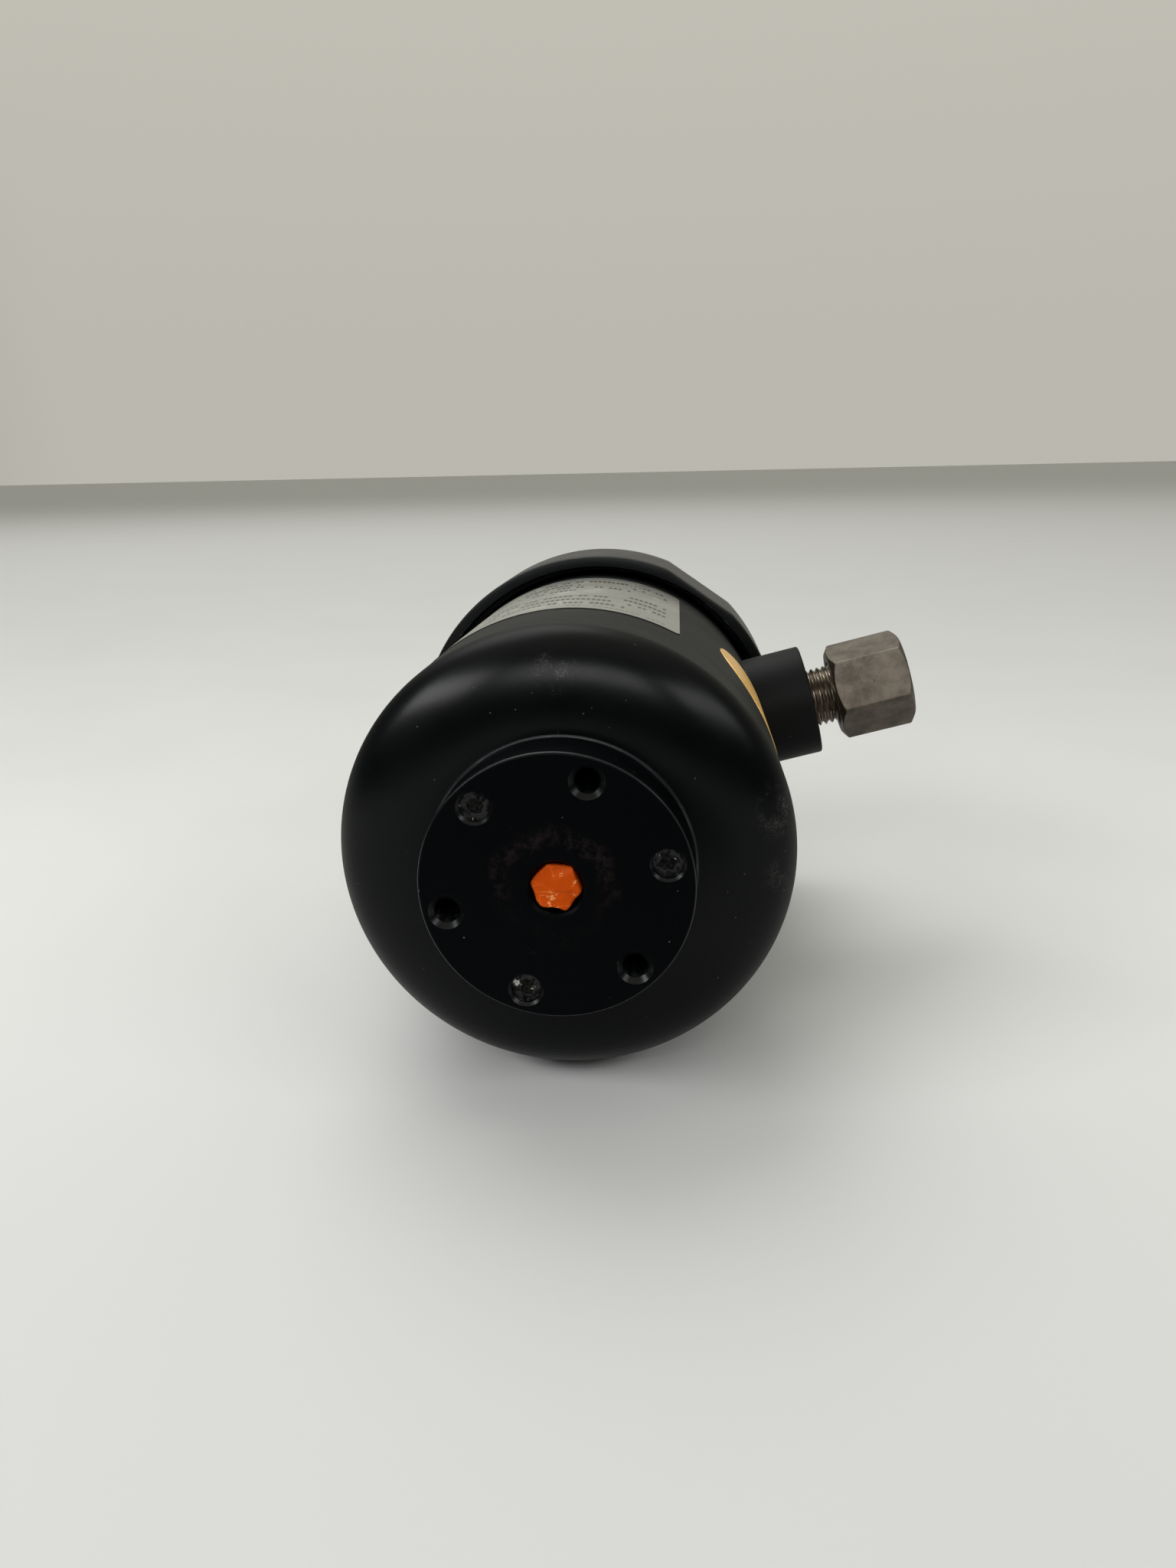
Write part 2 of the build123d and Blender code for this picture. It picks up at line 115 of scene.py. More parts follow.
class HousingSizes(bpy.types.PropertyGroup):
    """Sizes of the housing, its pad and its side boss."""
    radius: length_property("Body radius", "Outer radius of the cylinder", HOUSING_HIGH.z)
    length: length_property("Length", "From the pad face to the open end", HOUSING_HIGH.y)
    bore: length_property("Bore radius", "Radius of the inside", 33 * MM)
    floor: length_property("Floor", "From the pad face to the inside floor", 18 * MM)
    floor_rise: length_property("Floor rise", "Height of the bowl-shaped floor", 12 * MM)
    floor_flat: length_property("Floor flat", "Radius of the flat part of the floor", 18.5 * MM)
    pad: length_property("Pad radius", "Radius of the raised pad", 22.5 * MM)
    pad_height: length_property("Pad height", "From the pad face to the dome", 10 * MM)
    pad_edge: length_property("Pad edge", "Chamfer round the pad face", 0.55 * MM)
    dome: length_property("Dome depth", "Length of the rounded shoulder", 8.6 * MM)
    port: length_property("Port radius", "Radius of the central port", 4.45 * MM)
    port_depth: length_property("Port depth", "Depth of the central port", 11 * MM)
    passage: length_property("Passage radius", "Radius of the air passage", 3 * MM)
    hole: length_property("Tapped hole radius", "Core radius of the pad holes",
                          MOUNTS["pad_bolts"]["dims"]["hole_r_mm"] * MM)
    hole_circle: length_property("Hole circle", "Radius of the circle of pad holes",
                                 MOUNTS["pad_bolts"]["dims"]["pcd_mm"] / 2 * MM)
    screw_hole: length_property("Screw hole radius", "Radius of the pad holes round the set screws", 2.5 * MM)
    hole_depth: length_property("Hole depth", "Depth of the pad holes", 11 * MM)
    hole_mouth: length_property("Hole chamfer", "Chamfer at the mouth of the pad holes", 0.85 * MM)
    first_hole: angle_property("First open hole", "Angle of an open hole from +X towards +Z", 73.1)
    thread: length_property("Thread radius", "Crest radius of the collar thread", 39.5 * MM)
    thread_length: length_property("Thread length", "Length of the collar thread", 12 * MM)
    boss: length_property("Boss radius", "Radius of the side boss", 12.4 * MM)
    boss_place: length_property("Boss place", "From the pad face to the boss axis", 92 * MM)
    boss_end: length_property("Boss end", "From the housing axis to the boss face", 51.3 * MM)


class FittingSizes(bpy.types.PropertyGroup):
    """Sizes of the tube fitting, measured outwards from the housing axis."""
    thread: length_property("Thread radius", "Crest radius of the nipple", 6.58 * MM)
    thread_depth: length_property("Thread depth", "Depth of the nipple's thread", 0.75 * MM)
    pitch: length_property("Pitch", "Travel in one turn", 1.337 * MM)
    start: length_property("Nipple start", "Inner end of the nipple", 38.5 * MM)
    end: length_property("Nipple end", "Outer end of the nipple", 66 * MM)
    bore: length_property("Nipple bore", "Radius of the nipple's bore", 3.4 * MM)
    flats: length_property("Across flats", "Width of the hexagon", 19 * MM)
    nut_start: length_property("Nut start", "Inner end of the hexagon", 56.8 * MM)
    nut_length: length_property("Nut length", "Length of the hexagon", 16.4 * MM)
    nut_turn: angle_property("Nut turn", "Angle of a corner of the hexagon", 47)
    tube: length_property("Tube radius", "Radius of the tube hole", MOUNTS["inlet_tube"]["dims"]["r_mm"] * MM)


class CollarSizes(bpy.types.PropertyGroup):
    """Sizes of the collar and of the cover that it holds."""
    radius: length_property("Collar radius", "Outer radius between the flats", COLLAR_HIGH.x)
    start: length_property("Collar start", "Front edge of the collar", COLLAR_LOW.y)
    end: length_property("Collar end", "Rear face of the collar", COLLAR_HIGH.y)
    skirt: length_property("Skirt radius", "Inner radius of the skirt", 41.8 * MM)
    skirt_length: length_property("Skirt length", "Length of the skirt", 7 * MM)
    thread: length_property("Thread radius", "Inner radius over the thread", 39.9 * MM)
    thread_depth: length_property("Thread depth", "Depth of the collar thread", 0.9 * MM)
    pitch: length_property("Pitch", "Travel in one turn", 2 * MM)
    lip: length_property("Lip thickness", "Thickness of the rear lip", 4.4 * MM)
    lip_radius: length_property("Lip radius", "Radius of the hole in the lip", 31 * MM)
    flats: IntProperty(name="Flats", description="Number of spanner flats", default=2, min=2, max=12)
    flat_depth: length_property("Flat depth", "Depth of a flat at its middle", 1 * MM)
    first_flat: angle_property("First flat", "Angle of a flat from +X towards +Z", 55)


class Finishes(bpy.types.PropertyGroup):
    """Colours of the finishes."""
    black: colour_property("Black", "Anodised black of the housing", (0.0007, 0.0012, 0.0013))
    pad_black: colour_property("Pad black", "Darker black of the pad", (0.0003, 0.0006, 0.0009))
    stain: colour_property("Stain", "Brown ring round the port", (0.0100, 0.0068, 0.0072))
    dust: colour_property("Dust", "Dry dust in the finish", (0.11, 0.108, 0.10))
    bare: colour_property("Bare metal", "Metal that shows at worn edges", (0.34, 0.33, 0.31))
    nickel: colour_property("Nickel", "Dull plating of the fitting", (0.100, 0.086, 0.069))
    grime: colour_property("Grime", "Dirt in the thread and corners", (0.045, 0.034, 0.022))
    orange: colour_property("Orange", "Soft plastic of the port plug", (0.46, 0.056, 0.0))
    silver: colour_property("Silver", "Foil of the rating label", (0.40, 0.405, 0.37))
    gold: colour_property("Gold", "Foil of the round label", (0.82, 0.50, 0.14))
    rubber: colour_property("Rubber", "Nitrile rubber", (0.012, 0.012, 0.012))
    steel: colour_property("Steel", "Zinc-plated steel", (0.52, 0.53, 0.54))
    media: colour_property("Filter media", "Pleated sheet", (0.78, 0.765, 0.70))
    caps: colour_property("Element caps", "Moulded nylon", (0.030, 0.045, 0.10))
    acetal: colour_property("Acetal", "Natural acetal", (0.74, 0.73, 0.68))
    residue: colour_property("Residue", "Dried sealant on the set screws", (0.42, 0.41, 0.38))
    floor: colour_property("Floor", "Pale floor", (0.62, 0.625, 0.62))


class StudioSettings(bpy.types.PropertyGroup):
    """Camera and light."""
    camera_at: FloatVectorProperty(name="Camera", description="Place of the camera", size=3, precision=5,
                                   default=(0.01935, -0.17151, 0.06439), subtype="TRANSLATION", unit="LENGTH")
    camera_turn: FloatVectorProperty(name="Turn", description="Turn of the camera", size=3,
                                     default=[math.radians(a) for a in (74.71, 1.17, 4.28)],
                                     subtype="EULER", unit="ROTATION")
    lens: FloatProperty(name="Lens", description="Focal length in mm on a 36 mm long side", default=26.37,
                        min=5, max=200)
    sky: factor_property("Sky", "Brightness of the surroundings", 0.56)
    # Strength of the painted shadow on the floor below the camera.
    shadow: factor_property("Shadow", "Darkness of the floor below the camera", 0.97)
    key: FloatProperty(name="Key", description="Power of the large lamp overhead", default=60.0, min=0.0)
    strip: FloatProperty(name="Strip", description="Power of each lamp behind the camera", default=2.7, min=0.0)


class FilterSettings(bpy.types.PropertyGroup):
    """Everything that can be set."""
    housing: PointerProperty(type=HousingSizes)
    fitting: PointerProperty(type=FittingSizes)
    collar: PointerProperty(type=CollarSizes)
    finish: PointerProperty(type=Finishes)
    studio: PointerProperty(type=StudioSettings)


def settings():
    return bpy.context.scene.air_filter


# ---------------------------------------------------------------- node trees

class Graph:
    """Short calls for building a node tree."""

    def __init__(self, tree):
        self.tree = tree

    def node(self, kind, **values):
        made = self.tree.nodes.new(kind)
        for name, value in values.items():
            setattr(made, name, value)
        return made

    def feed(self, socket, value):
        if isinstance(value, bpy.types.NodeSocket):
            self.tree.links.new(value, socket)
        elif isinstance(value, (tuple, list)) or hasattr(value, "__len__"):
            value = list(value)
            socket.default_value = value + [1.0] * (len(socket.default_value) - len(value))
        else:
            socket.default_value = value

    def math(self, operation, a, b=0.0, c=0.0, clamp=False):
        made = self.node("ShaderNodeMath", operation=operation, use_clamp=clamp)
        for socket, value in zip(made.inputs, (a, b, c)):
            self.feed(socket, value)
        return made.outputs[0]

    def ramp(self, value, low, high, out_low=0.0, out_high=1.0):
        made = self.node("ShaderNodeMapRange", interpolation_type="SMOOTHSTEP")
        for name, given in (("Value", value), ("From Min", low), ("From Max", high),
                            ("To Min", out_low), ("To Max", out_high)):
            self.feed(made.inputs[name], given)
        return made.outputs[0]

    def mix(self, share, a, b):
        made = self.node("ShaderNodeMix", data_type="RGBA")
        self.feed(made.inputs[0], share)
        self.feed(made.inputs[6], a)
        self.feed(made.inputs[7], b)
        return made.outputs[2]

    def noise(self, vector, scale, detail=4.0, roughness=0.55):
        made = self.node("ShaderNodeTexNoise")
        self.feed(made.inputs["Vector"], vector)
        self.feed(made.inputs["Scale"], scale)
        self.feed(made.inputs["Detail"], detail)
        self.feed(made.inputs["Roughness"], roughness)
        return made.outputs[0]

    def cells(self, vector, scale):
        made = self.node("ShaderNodeTexVoronoi")
        self.feed(made.inputs["Vector"], vector)
        self.feed(made.inputs["Scale"], scale)
        return made

    def stretch(self, vector, by, turn=(0, 0, 0)):
        made = self.node("ShaderNodeMapping")
        self.feed(made.inputs["Vector"], vector)
        self.feed(made.inputs["Scale"], by)
        self.feed(made.inputs["Rotation"], turn)
        return made.outputs[0]

    def split(self, vector):
        made = self.node("ShaderNodeSeparateXYZ")
        self.feed(made.inputs[0], vector)
        return made.outputs

    def place(self):
        return self.node("ShaderNodeTexCoord").outputs["Object"]

    def bump(self, height, strength, distance=0.1 * MM):
        made = self.node("ShaderNodeBump")
        self.feed(made.inputs["Height"], height)
        made.inputs["Strength"].default_value = strength
        made.inputs["Distance"].default_value = distance
        return made.outputs[0]

    def use(self, name, **inputs):
        made = self.node("ShaderNodeGroup", node_tree=bpy.data.node_groups[name])
        for key, value in inputs.items():
            self.feed(made.inputs[key.replace("_", " ").capitalize()], value)
        return made.outputs


def effect(name, inputs, outputs):
    """Start a shader group. Returns its graph, its input sockets and its output node."""
    tree = bpy.data.node_groups.new(name, "ShaderNodeTree")
    for label, default in inputs.items():
        socket = tree.interface.new_socket(name=label, in_out="INPUT", socket_type="NodeSocketFloat")
        socket.default_value = default
    for label in outputs:
        tree.interface.new_socket(name=label, in_out="OUTPUT", socket_type="NodeSocketFloat")
    graph = Graph(tree)
    return graph, graph.node("NodeGroupInput").outputs, graph.node("NodeGroupOutput").inputs


def make_dust():
    """Soft smears and small dry specks."""
    graph, given, out = effect("Dust and smears", {"Scale": 60.0, "Amount": 0.5}, ("Smear", "Specks"))
    place = graph.place()
    wide = graph.noise(place, given["Scale"], 5.0, 0.6)
    fine = graph.noise(place, graph.math("MULTIPLY", given["Scale"], 14.0), 3.0, 0.6)
    low = graph.math("SUBTRACT", 0.78, graph.math("MULTIPLY", given["Amount"], 0.36))
    smear = graph.ramp(wide, low, graph.math("ADD", low, 0.24))
    graph.feed(out["Smear"], graph.math("MULTIPLY", smear, graph.ramp(fine, 0.34, 0.72, 0.25, 1.0)))
    cells = graph.cells(place, graph.math("MULTIPLY", given["Scale"], 12.0))
    dot = graph.ramp(cells.outputs["Distance"], 0.05, 0.13, 1.0, 0.0)
    chosen = graph.math("LESS_THAN", graph.split(cells.outputs["Color"])[0],
                        graph.math("MULTIPLY", given["Amount"], 0.11))
    graph.feed(out["Specks"], graph.math("MULTIPLY", dot, chosen))


def make_edge_wear():
    """Finish rubbed off along edges."""
    graph, given, out = effect("Edge wear", {"Radius": 0.0003, "Amount": 0.5}, ("Mask",))
    rounded = graph.node("ShaderNodeBevel", samples=6)
    graph.feed(rounded.inputs["Radius"], given["Radius"])
    compare = graph.node("ShaderNodeVectorMath", operation="DOT_PRODUCT")
    graph.feed(compare.inputs[0], rounded.outputs[0])
    graph.feed(compare.inputs[1], graph.node("ShaderNodeNewGeometry").outputs["Normal"])
    edge = graph.ramp(compare.outputs["Value"], 0.985, 0.90)
    patches = graph.noise(graph.place(), 260.0, 5.0, 0.65)
    broken = graph.ramp(patches, graph.math("SUBTRACT", 0.78, graph.math("MULTIPLY", given["Amount"], 0.5)), 0.82)
    graph.feed(out["Mask"], graph.math("MULTIPLY", edge, broken))


def make_grain():
    """Fine grain of a blasted or moulded surface, with a slow ripple."""
    graph, given, out = effect("Fine grain", {"Scale": 2400.0, "Ripple": 0.3}, ("Height",))
    place = graph.place()
    fine = graph.noise(place, given["Scale"], 2.0, 0.6)
    slow = graph.noise(place, graph.math("MULTIPLY", given["Scale"], 0.08), 2.0, 0.5)
    graph.feed(out["Height"], graph.math("ADD", fine, graph.math("MULTIPLY", slow, given["Ripple"])))


def make_scratches():
    """Hairline scratches in two directions."""
    graph, given, out = effect("Scratches", {"Scale": 120.0, "Amount": 0.5}, ("Mask",))
    place = graph.place()
    lines = []
    for turn, by in (((0.3, 0.5, 0.2), (1.0, 0.06, 1.0)), ((1.1, 0.2, 0.9), (0.08, 1.0, 1.0))):
        drawn = graph.noise(graph.stretch(place, by, turn), given["Scale"], 2.0, 0.5)
        hair = graph.ramp(graph.math("ABSOLUTE", graph.math("SUBTRACT", drawn, 0.5)), 0.0, 0.006, 1.0, 0.0)
        lines.append(hair)
    both = graph.math("MAXIMUM", lines[0], lines[1])
    where = graph.noise(place, graph.math("MULTIPLY", given["Scale"], 0.7), 2.0, 0.5)
    low = graph.math("SUBTRACT", 0.82, graph.math("MULTIPLY", given["Amount"], 0.4))
    graph.feed(out["Mask"], graph.math("MULTIPLY", both, graph.ramp(where, low, graph.math("ADD", low, 0.12))))


def make_turning():
    """Rings left by a lathe about the housing axis."""
    graph, given, out = effect("Turning marks", {"Pitch": 0.00035, "Waver": 0.4}, ("Height",))
    x, y, z = graph.split(graph.place())
    radius = graph.math("SQRT", graph.math("ADD", graph.math("MULTIPLY", x, x), graph.math("MULTIPLY", z, z)))
    along = graph.math("ADD", radius, y)
    shift = graph.math("MULTIPLY", graph.noise(graph.place(), 90.0, 2.0), given["Waver"])
    turns = graph.math("ADD", graph.math("DIVIDE", along, given["Pitch"]), shift)
    graph.feed(out["Height"], graph.math("SINE", graph.math("MULTIPLY", turns, TAU)))


def make_print():
    """Generic printed dashes in rows, and two ruled lines, on a label's UV map."""
    graph, given, out = effect("Printed rows", {"Rows": 14.0, "Marks": 60.0}, ("Ink",))
    across, along, _ = graph.split(graph.node("ShaderNodeTexCoord").outputs["UV"])
    row = graph.math("MULTIPLY", along, given["Rows"])
    mark = graph.math("MULTIPLY", across, given["Marks"])
    cell = graph.node("ShaderNodeCombineXYZ")
    graph.feed(cell.inputs[0], graph.math("FLOOR", mark))
    graph.feed(cell.inputs[1], graph.math("FLOOR", row))
    chance = graph.node("ShaderNodeTexWhiteNoise", noise_dimensions="2D")
    graph.feed(chance.inputs["Vector"], cell.outputs[0])
    line = graph.node("ShaderNodeCombineXYZ")
    graph.feed(line.inputs[0], graph.math("FLOOR", graph.math("MULTIPLY", across, 5.0)))
    graph.feed(line.inputs[1], graph.math("FLOOR", row))
    block = graph.node("ShaderNodeTexWhiteNoise", noise_dimensions="2D")
    graph.feed(block.inputs["Vector"], line.outputs[0])
    in_row = graph.math("COMPARE", graph.math("FRACT", row), 0.5, 0.21)
    in_mark = graph.math("COMPARE", graph.math("FRACT", mark), 0.45, 0.36)
    dashes = graph.math("MULTIPLY", graph.math("MULTIPLY", in_row, in_mark),
                        graph.math("GREATER_THAN", chance.outputs["Value"], 0.28))
    dashes = graph.math("MULTIPLY", dashes, graph.math("GREATER_THAN", block.outputs["Value"], 0.42))
    inside = graph.math("MULTIPLY", graph.math("COMPARE", across, 0.5, 0.45),
                        graph.math("COMPARE", along, 0.5, 0.44))
    rule = graph.math("MAXIMUM", graph.math("COMPARE", along, 0.36, 0.003),
                      graph.math("COMPARE", along, 0.72, 0.003))
    ink = graph.math("MULTIPLY", graph.math("MAXIMUM", dashes, rule), inside)
    graph.feed(out["Ink"], graph.math("MAXIMUM", ink, graph.math("COMPARE", along, 0.0, 0.012)))


def make_stain():
    """Broken ring left round the port by a fitting's seal."""
    graph, given, out = effect("Ring stain", {"Radius": 0.0086, "Width": 0.0016}, ("Mask",))
    x, y, z = graph.split(graph.place())
    radius = graph.math("SQRT", graph.math("ADD", graph.math("MULTIPLY", x, x), graph.math("MULTIPLY", z, z)))
    wander = graph.math("MULTIPLY", graph.math("SUBTRACT", graph.noise(graph.place(), 110.0, 3.0), 0.5), 0.0060)
    away = graph.math("ABSOLUTE", graph.math("SUBTRACT", graph.math("ADD", radius, wander), given["Radius"]))
    ring = graph.ramp(graph.math("DIVIDE", away, given["Width"]), 0.2, 1.0, 1.0, 0.0)
    patch = graph.ramp(graph.noise(graph.place(), 520.0, 6.0, 0.72), 0.42, 0.66)
    side = graph.ramp(graph.math("DIVIDE", z, given["Radius"]), -0.7, 0.5, 0.12, 1.0)
    graph.feed(out["Mask"], graph.math("MULTIPLY", ring, graph.math("MULTIPLY", patch, side)))


def make_rubbed_patch():
    """Speckled patch where the finish is rubbed matt, round one point."""
    graph, given, out = effect("Rubbed patch", {"X": 0.0, "Y": 0.0, "Z": 0.0, "Reach": 0.01}, ("Mask",))
    place = graph.place()
    middle = graph.node("ShaderNodeCombineXYZ")
    for i, axis in enumerate("XYZ"):
        graph.feed(middle.inputs[i], given[axis])
    away = graph.node("ShaderNodeVectorMath", operation="DISTANCE")
    graph.feed(away.inputs[0], place)
    graph.feed(away.inputs[1], middle.outputs[0])
    near = graph.ramp(graph.math("DIVIDE", away.outputs["Value"], given["Reach"]), 0.15, 1.0, 1.0, 0.0)
    cloud = graph.ramp(graph.noise(place, 330.0, 5.0, 0.65), 0.42, 0.70)
    fine = graph.ramp(graph.noise(place, 2600.0, 3.0, 0.7), 0.50, 0.64, 0.12, 1.0)
    graph.feed(out["Mask"], graph.math("MULTIPLY", near, graph.math("MULTIPLY", cloud, fine)))


def make_effects():
    for make in (make_dust, make_edge_wear, make_grain, make_scratches, make_turning, make_print, make_stain,
                 make_rubbed_patch):
        make()


# ---------------------------------------------------------------- finishes

def new_finish(name, **constants):
    """Start a material. Returns it, its graph and its Principled BSDF."""
    material = bpy.data.materials.new(name)
    material.use_nodes = True
    graph = Graph(material.node_tree)
    shader = next(n for n in material.node_tree.nodes if n.type == "BSDF_PRINCIPLED")
    for key, value in constants.items():
        graph.feed(shader.inputs[key.replace("_", " ")], value)
    return material, graph, shader


def black_finish(name, colour, dust=0.5, wear=0.5, roughness=0.42, specular=0.4, dust_scale=60.0,
                 grain=2400.0, turned=0.0, stained=False, scuffed=0.0, rubbed=(), speckled=0.8, matt_behind=False):
    """Satin anodised black with dust, hairlines, worn edges and grain."""
    finish = settings().finish
    material, graph, shader = new_finish(name, Specular_IOR_Level=specular)
    dirt = graph.use("Dust and smears", scale=dust_scale, amount=dust)
    worn = graph.use("Edge wear", radius=0.35 * MM, amount=wear)["Mask"]
    hair = graph.use("Scratches", scale=130.0, amount=dust)["Mask"]
    shade = graph.noise(graph.place(), 35.0, 3.0)
    base = graph.mix(shade, [c * 0.75 for c in colour], [c * 1.35 for c in colour])
    base = graph.mix(graph.math("MULTIPLY", dirt["Smear"], 0.003 + scuffed), base, finish.dust)
    base = graph.mix(graph.math("MULTIPLY", dirt["Specks"], speckled), base, finish.dust)
    for x, y, z, reach in rubbed:
        spot = graph.use("Rubbed patch", x=x * MM, y=y * MM, z=z * MM, reach=reach * MM)["Mask"]
        base = graph.mix(graph.math("MULTIPLY", spot, 0.60), base, finish.dust)
    if stained:
        base = graph.mix(graph.use("Ring stain", radius=8.8 * MM, width=2.4 * MM)["Mask"], base, finish.stain)
    base = graph.mix(graph.math("MULTIPLY", hair, 0.06), base, finish.dust)
    base = graph.mix(graph.math("MULTIPLY", worn, 0.6), base, finish.bare)
    graph.feed(shader.inputs["Base Color"], base)
    graph.feed(shader.inputs["Metallic"], graph.math("MULTIPLY", worn, 0.7))
    rough = graph.math("ADD", graph.math("MULTIPLY", graph.noise(graph.place(), 70.0, 4.0), 0.14), roughness - 0.07)
    rough = graph.math("ADD", rough, graph.math("MULTIPLY", dirt["Smear"], 0.16))
    if matt_behind:
        rough = graph.math("ADD", rough, graph.ramp(graph.split(graph.place())[1], 12.5 * MM, 18.5 * MM, 0.0, 0.30))
    graph.feed(shader.inputs["Roughness"], graph.math("SUBTRACT", rough, graph.math("MULTIPLY", worn, 0.12)))
    height = graph.use("Fine grain", scale=grain, ripple=0.35)["Height"]
    if turned:
        rings = graph.use("Turning marks", pitch=turned, waver=0.4)["Height"]
        height = graph.math("ADD", height, graph.math("MULTIPLY", rings, 0.35))
    graph.feed(shader.inputs["Normal"], graph.bump(height, 0.35, 0.02 * MM))
    return material


def metal_finish(name, colour, roughness=0.3, grime=0.4, wear=0.4, scale=160.0):
    """Plated or bare metal with grime, hairlines and rubbed edges."""
    finish = settings().finish
    material, graph, shader = new_finish(name)
    dirt = graph.use("Dust and smears", scale=scale, amount=grime)
    worn = graph.use("Edge wear", radius=0.4 * MM, amount=wear)["Mask"]
    hair = graph.use("Scratches", scale=220.0, amount=0.6)["Mask"]
    shade = graph.ramp(graph.noise(graph.place(), 210.0, 6.0, 0.68), 0.32, 0.68)
    base = graph.mix(shade, [c * 0.66 for c in colour], [min(1.0, c * 1.25) for c in colour])
    base = graph.mix(graph.math("MULTIPLY", dirt["Smear"], 0.75), base, finish.grime)
    base = graph.mix(graph.math("MULTIPLY", worn, 0.5), base, [min(1.0, c * 1.35) for c in colour])
    graph.feed(shader.inputs["Base Color"], base)
    graph.feed(shader.inputs["Metallic"], graph.math("SUBTRACT", 1.0, graph.math("MULTIPLY", dirt["Smear"], 0.7)))
    rough = graph.math("ADD", roughness, graph.math("MULTIPLY", dirt["Smear"], 0.3))
    rough = graph.math("ADD", rough, graph.math("MULTIPLY", hair, 0.15))
    graph.feed(shader.inputs["Roughness"], rough)
    height = graph.math("SUBTRACT", graph.use("Fine grain", scale=1800.0, ripple=0.5)["Height"],
                        graph.math("MULTIPLY", hair, 0.8))
    graph.feed(shader.inputs["Normal"], graph.bump(height, 0.3, 0.02 * MM))
    return material


def moulded_finish(name, colour, roughness=0.45, grain=1500.0, dust=0.3, scattering=0.0):
    """Moulded plastic or rubber with a fine grain and a little dust."""
    finish = settings().finish
    material, graph, shader = new_finish(name, Subsurface_Weight=scattering, Subsurface_Scale=0.6 * MM)
    dirt = graph.use("Dust and smears", scale=200.0, amount=dust)
    hair = graph.use("Scratches", scale=320.0, amount=0.5)["Mask"]
    shade = graph.noise(graph.place(), 220.0, 4.0)
    base = graph.mix(shade, [c * 0.82 for c in colour], [min(1.0, c * 1.15) for c in colour])
    base = graph.mix(graph.math("MULTIPLY", dirt["Smear"], 0.10), base, finish.dust)
    base = graph.mix(graph.math("MULTIPLY", hair, 0.25), base, [min(1.0, c * 0.6 + 0.35) for c in colour])
    graph.feed(shader.inputs["Base Color"], base)
    graph.feed(shader.inputs["Roughness"], graph.math("ADD", roughness, graph.math("MULTIPLY", shade, 0.12)))
    height = graph.math("SUBTRACT", graph.use("Fine grain", scale=grain, ripple=0.8)["Height"],
                        graph.math("MULTIPLY", hair, 0.6))
    graph.feed(shader.inputs["Normal"], graph.bump(height, 0.4, 0.04 * MM))
    return material


def plug_finish():
    """Soft orange plastic, chewed and scuffed white at its head."""
    colour = settings().finish.orange
    material, graph, shader = new_finish("Orange plug plastic", Specular_IOR_Level=0.08)
    place = graph.place()
    hair = graph.use("Scratches", scale=420.0, amount=0.9)["Mask"]
    chips = graph.ramp(graph.noise(place, 560.0, 5.0, 0.7), 0.62, 0.70)
    front = graph.ramp(graph.split(place)[1], 1.4 * MM, 0.5 * MM)
    scuff = graph.math("MULTIPLY", graph.math("MAXIMUM", hair, graph.math("MULTIPLY", chips, 0.8)), front)
    shade = graph.noise(place, 320.0, 4.0)
    base = graph.mix(shade, [c * 0.72 for c in colour], [min(1.0, c * 1.1) for c in colour])
    base = graph.mix(graph.math("MULTIPLY", scuff, 0.7), base, (0.95, 0.45, 0.16))
    graph.feed(shader.inputs["Base Color"], base)
    graph.feed(shader.inputs["Roughness"], graph.math("ADD", 0.42, graph.math("MULTIPLY", shade, 0.2)))
    height = graph.math("ADD", graph.noise(place, 900.0, 3.0), graph.math("MULTIPLY", scuff, 0.6))
    graph.feed(shader.inputs["Normal"], graph.bump(height, 0.5, 0.08 * MM))
    return material


def foil_finish(name, colour, printed, roughness=0.30, metallic=0.9):
    """Sticker foil with generic printing, rubbed patches and dirt."""
    finish = settings().finish
    material, graph, shader = new_finish(name, Specular_IOR_Level=0.2)
    place = graph.place()
    dirt = graph.use("Dust and smears", scale=110.0, amount=0.62)
    hair = graph.use("Scratches", scale=170.0, amount=0.8)["Mask"]
    rubbed = graph.ramp(graph.noise(place, 95.0, 5.0, 0.65), 0.50, 0.66)
    shade = graph.noise(place, 60.0, 4.0)
    base = graph.mix(shade, [c * 0.84 for c in colour], [min(1.0, c * 1.12) for c in colour])
    if printed:
        ink = graph.use("Printed rows", rows=10.0, marks=56.0)["Ink"]
        ink = graph.math("MULTIPLY", ink, graph.math("SUBTRACT", 1.0, graph.math("MULTIPLY", rubbed, 0.5)))
        base = graph.mix(graph.math("MULTIPLY", ink, 0.94), base, (0.012, 0.012, 0.014))
    base = graph.mix(graph.math("MULTIPLY", dirt["Smear"], 0.35), base, finish.grime)
    base = graph.mix(graph.math("MULTIPLY", dirt["Specks"], 0.8), base, finish.grime)
    graph.feed(shader.inputs["Base Color"], base)
    graph.feed(shader.inputs["Metallic"], graph.math("SUBTRACT", metallic, graph.math("MULTIPLY", dirt["Smear"], 0.4)))
    rough = graph.math("ADD", roughness, graph.math("MULTIPLY", rubbed, 0.12))
    graph.feed(shader.inputs["Roughness"], graph.math("ADD", rough, graph.math("MULTIPLY", hair, 0.2)))
    height = graph.math("ADD", graph.noise(place, 260.0, 3.0), graph.math("MULTIPLY", hair, -0.4))
    graph.feed(shader.inputs["Normal"], graph.bump(height, 0.35, 0.05 * MM))
    return material


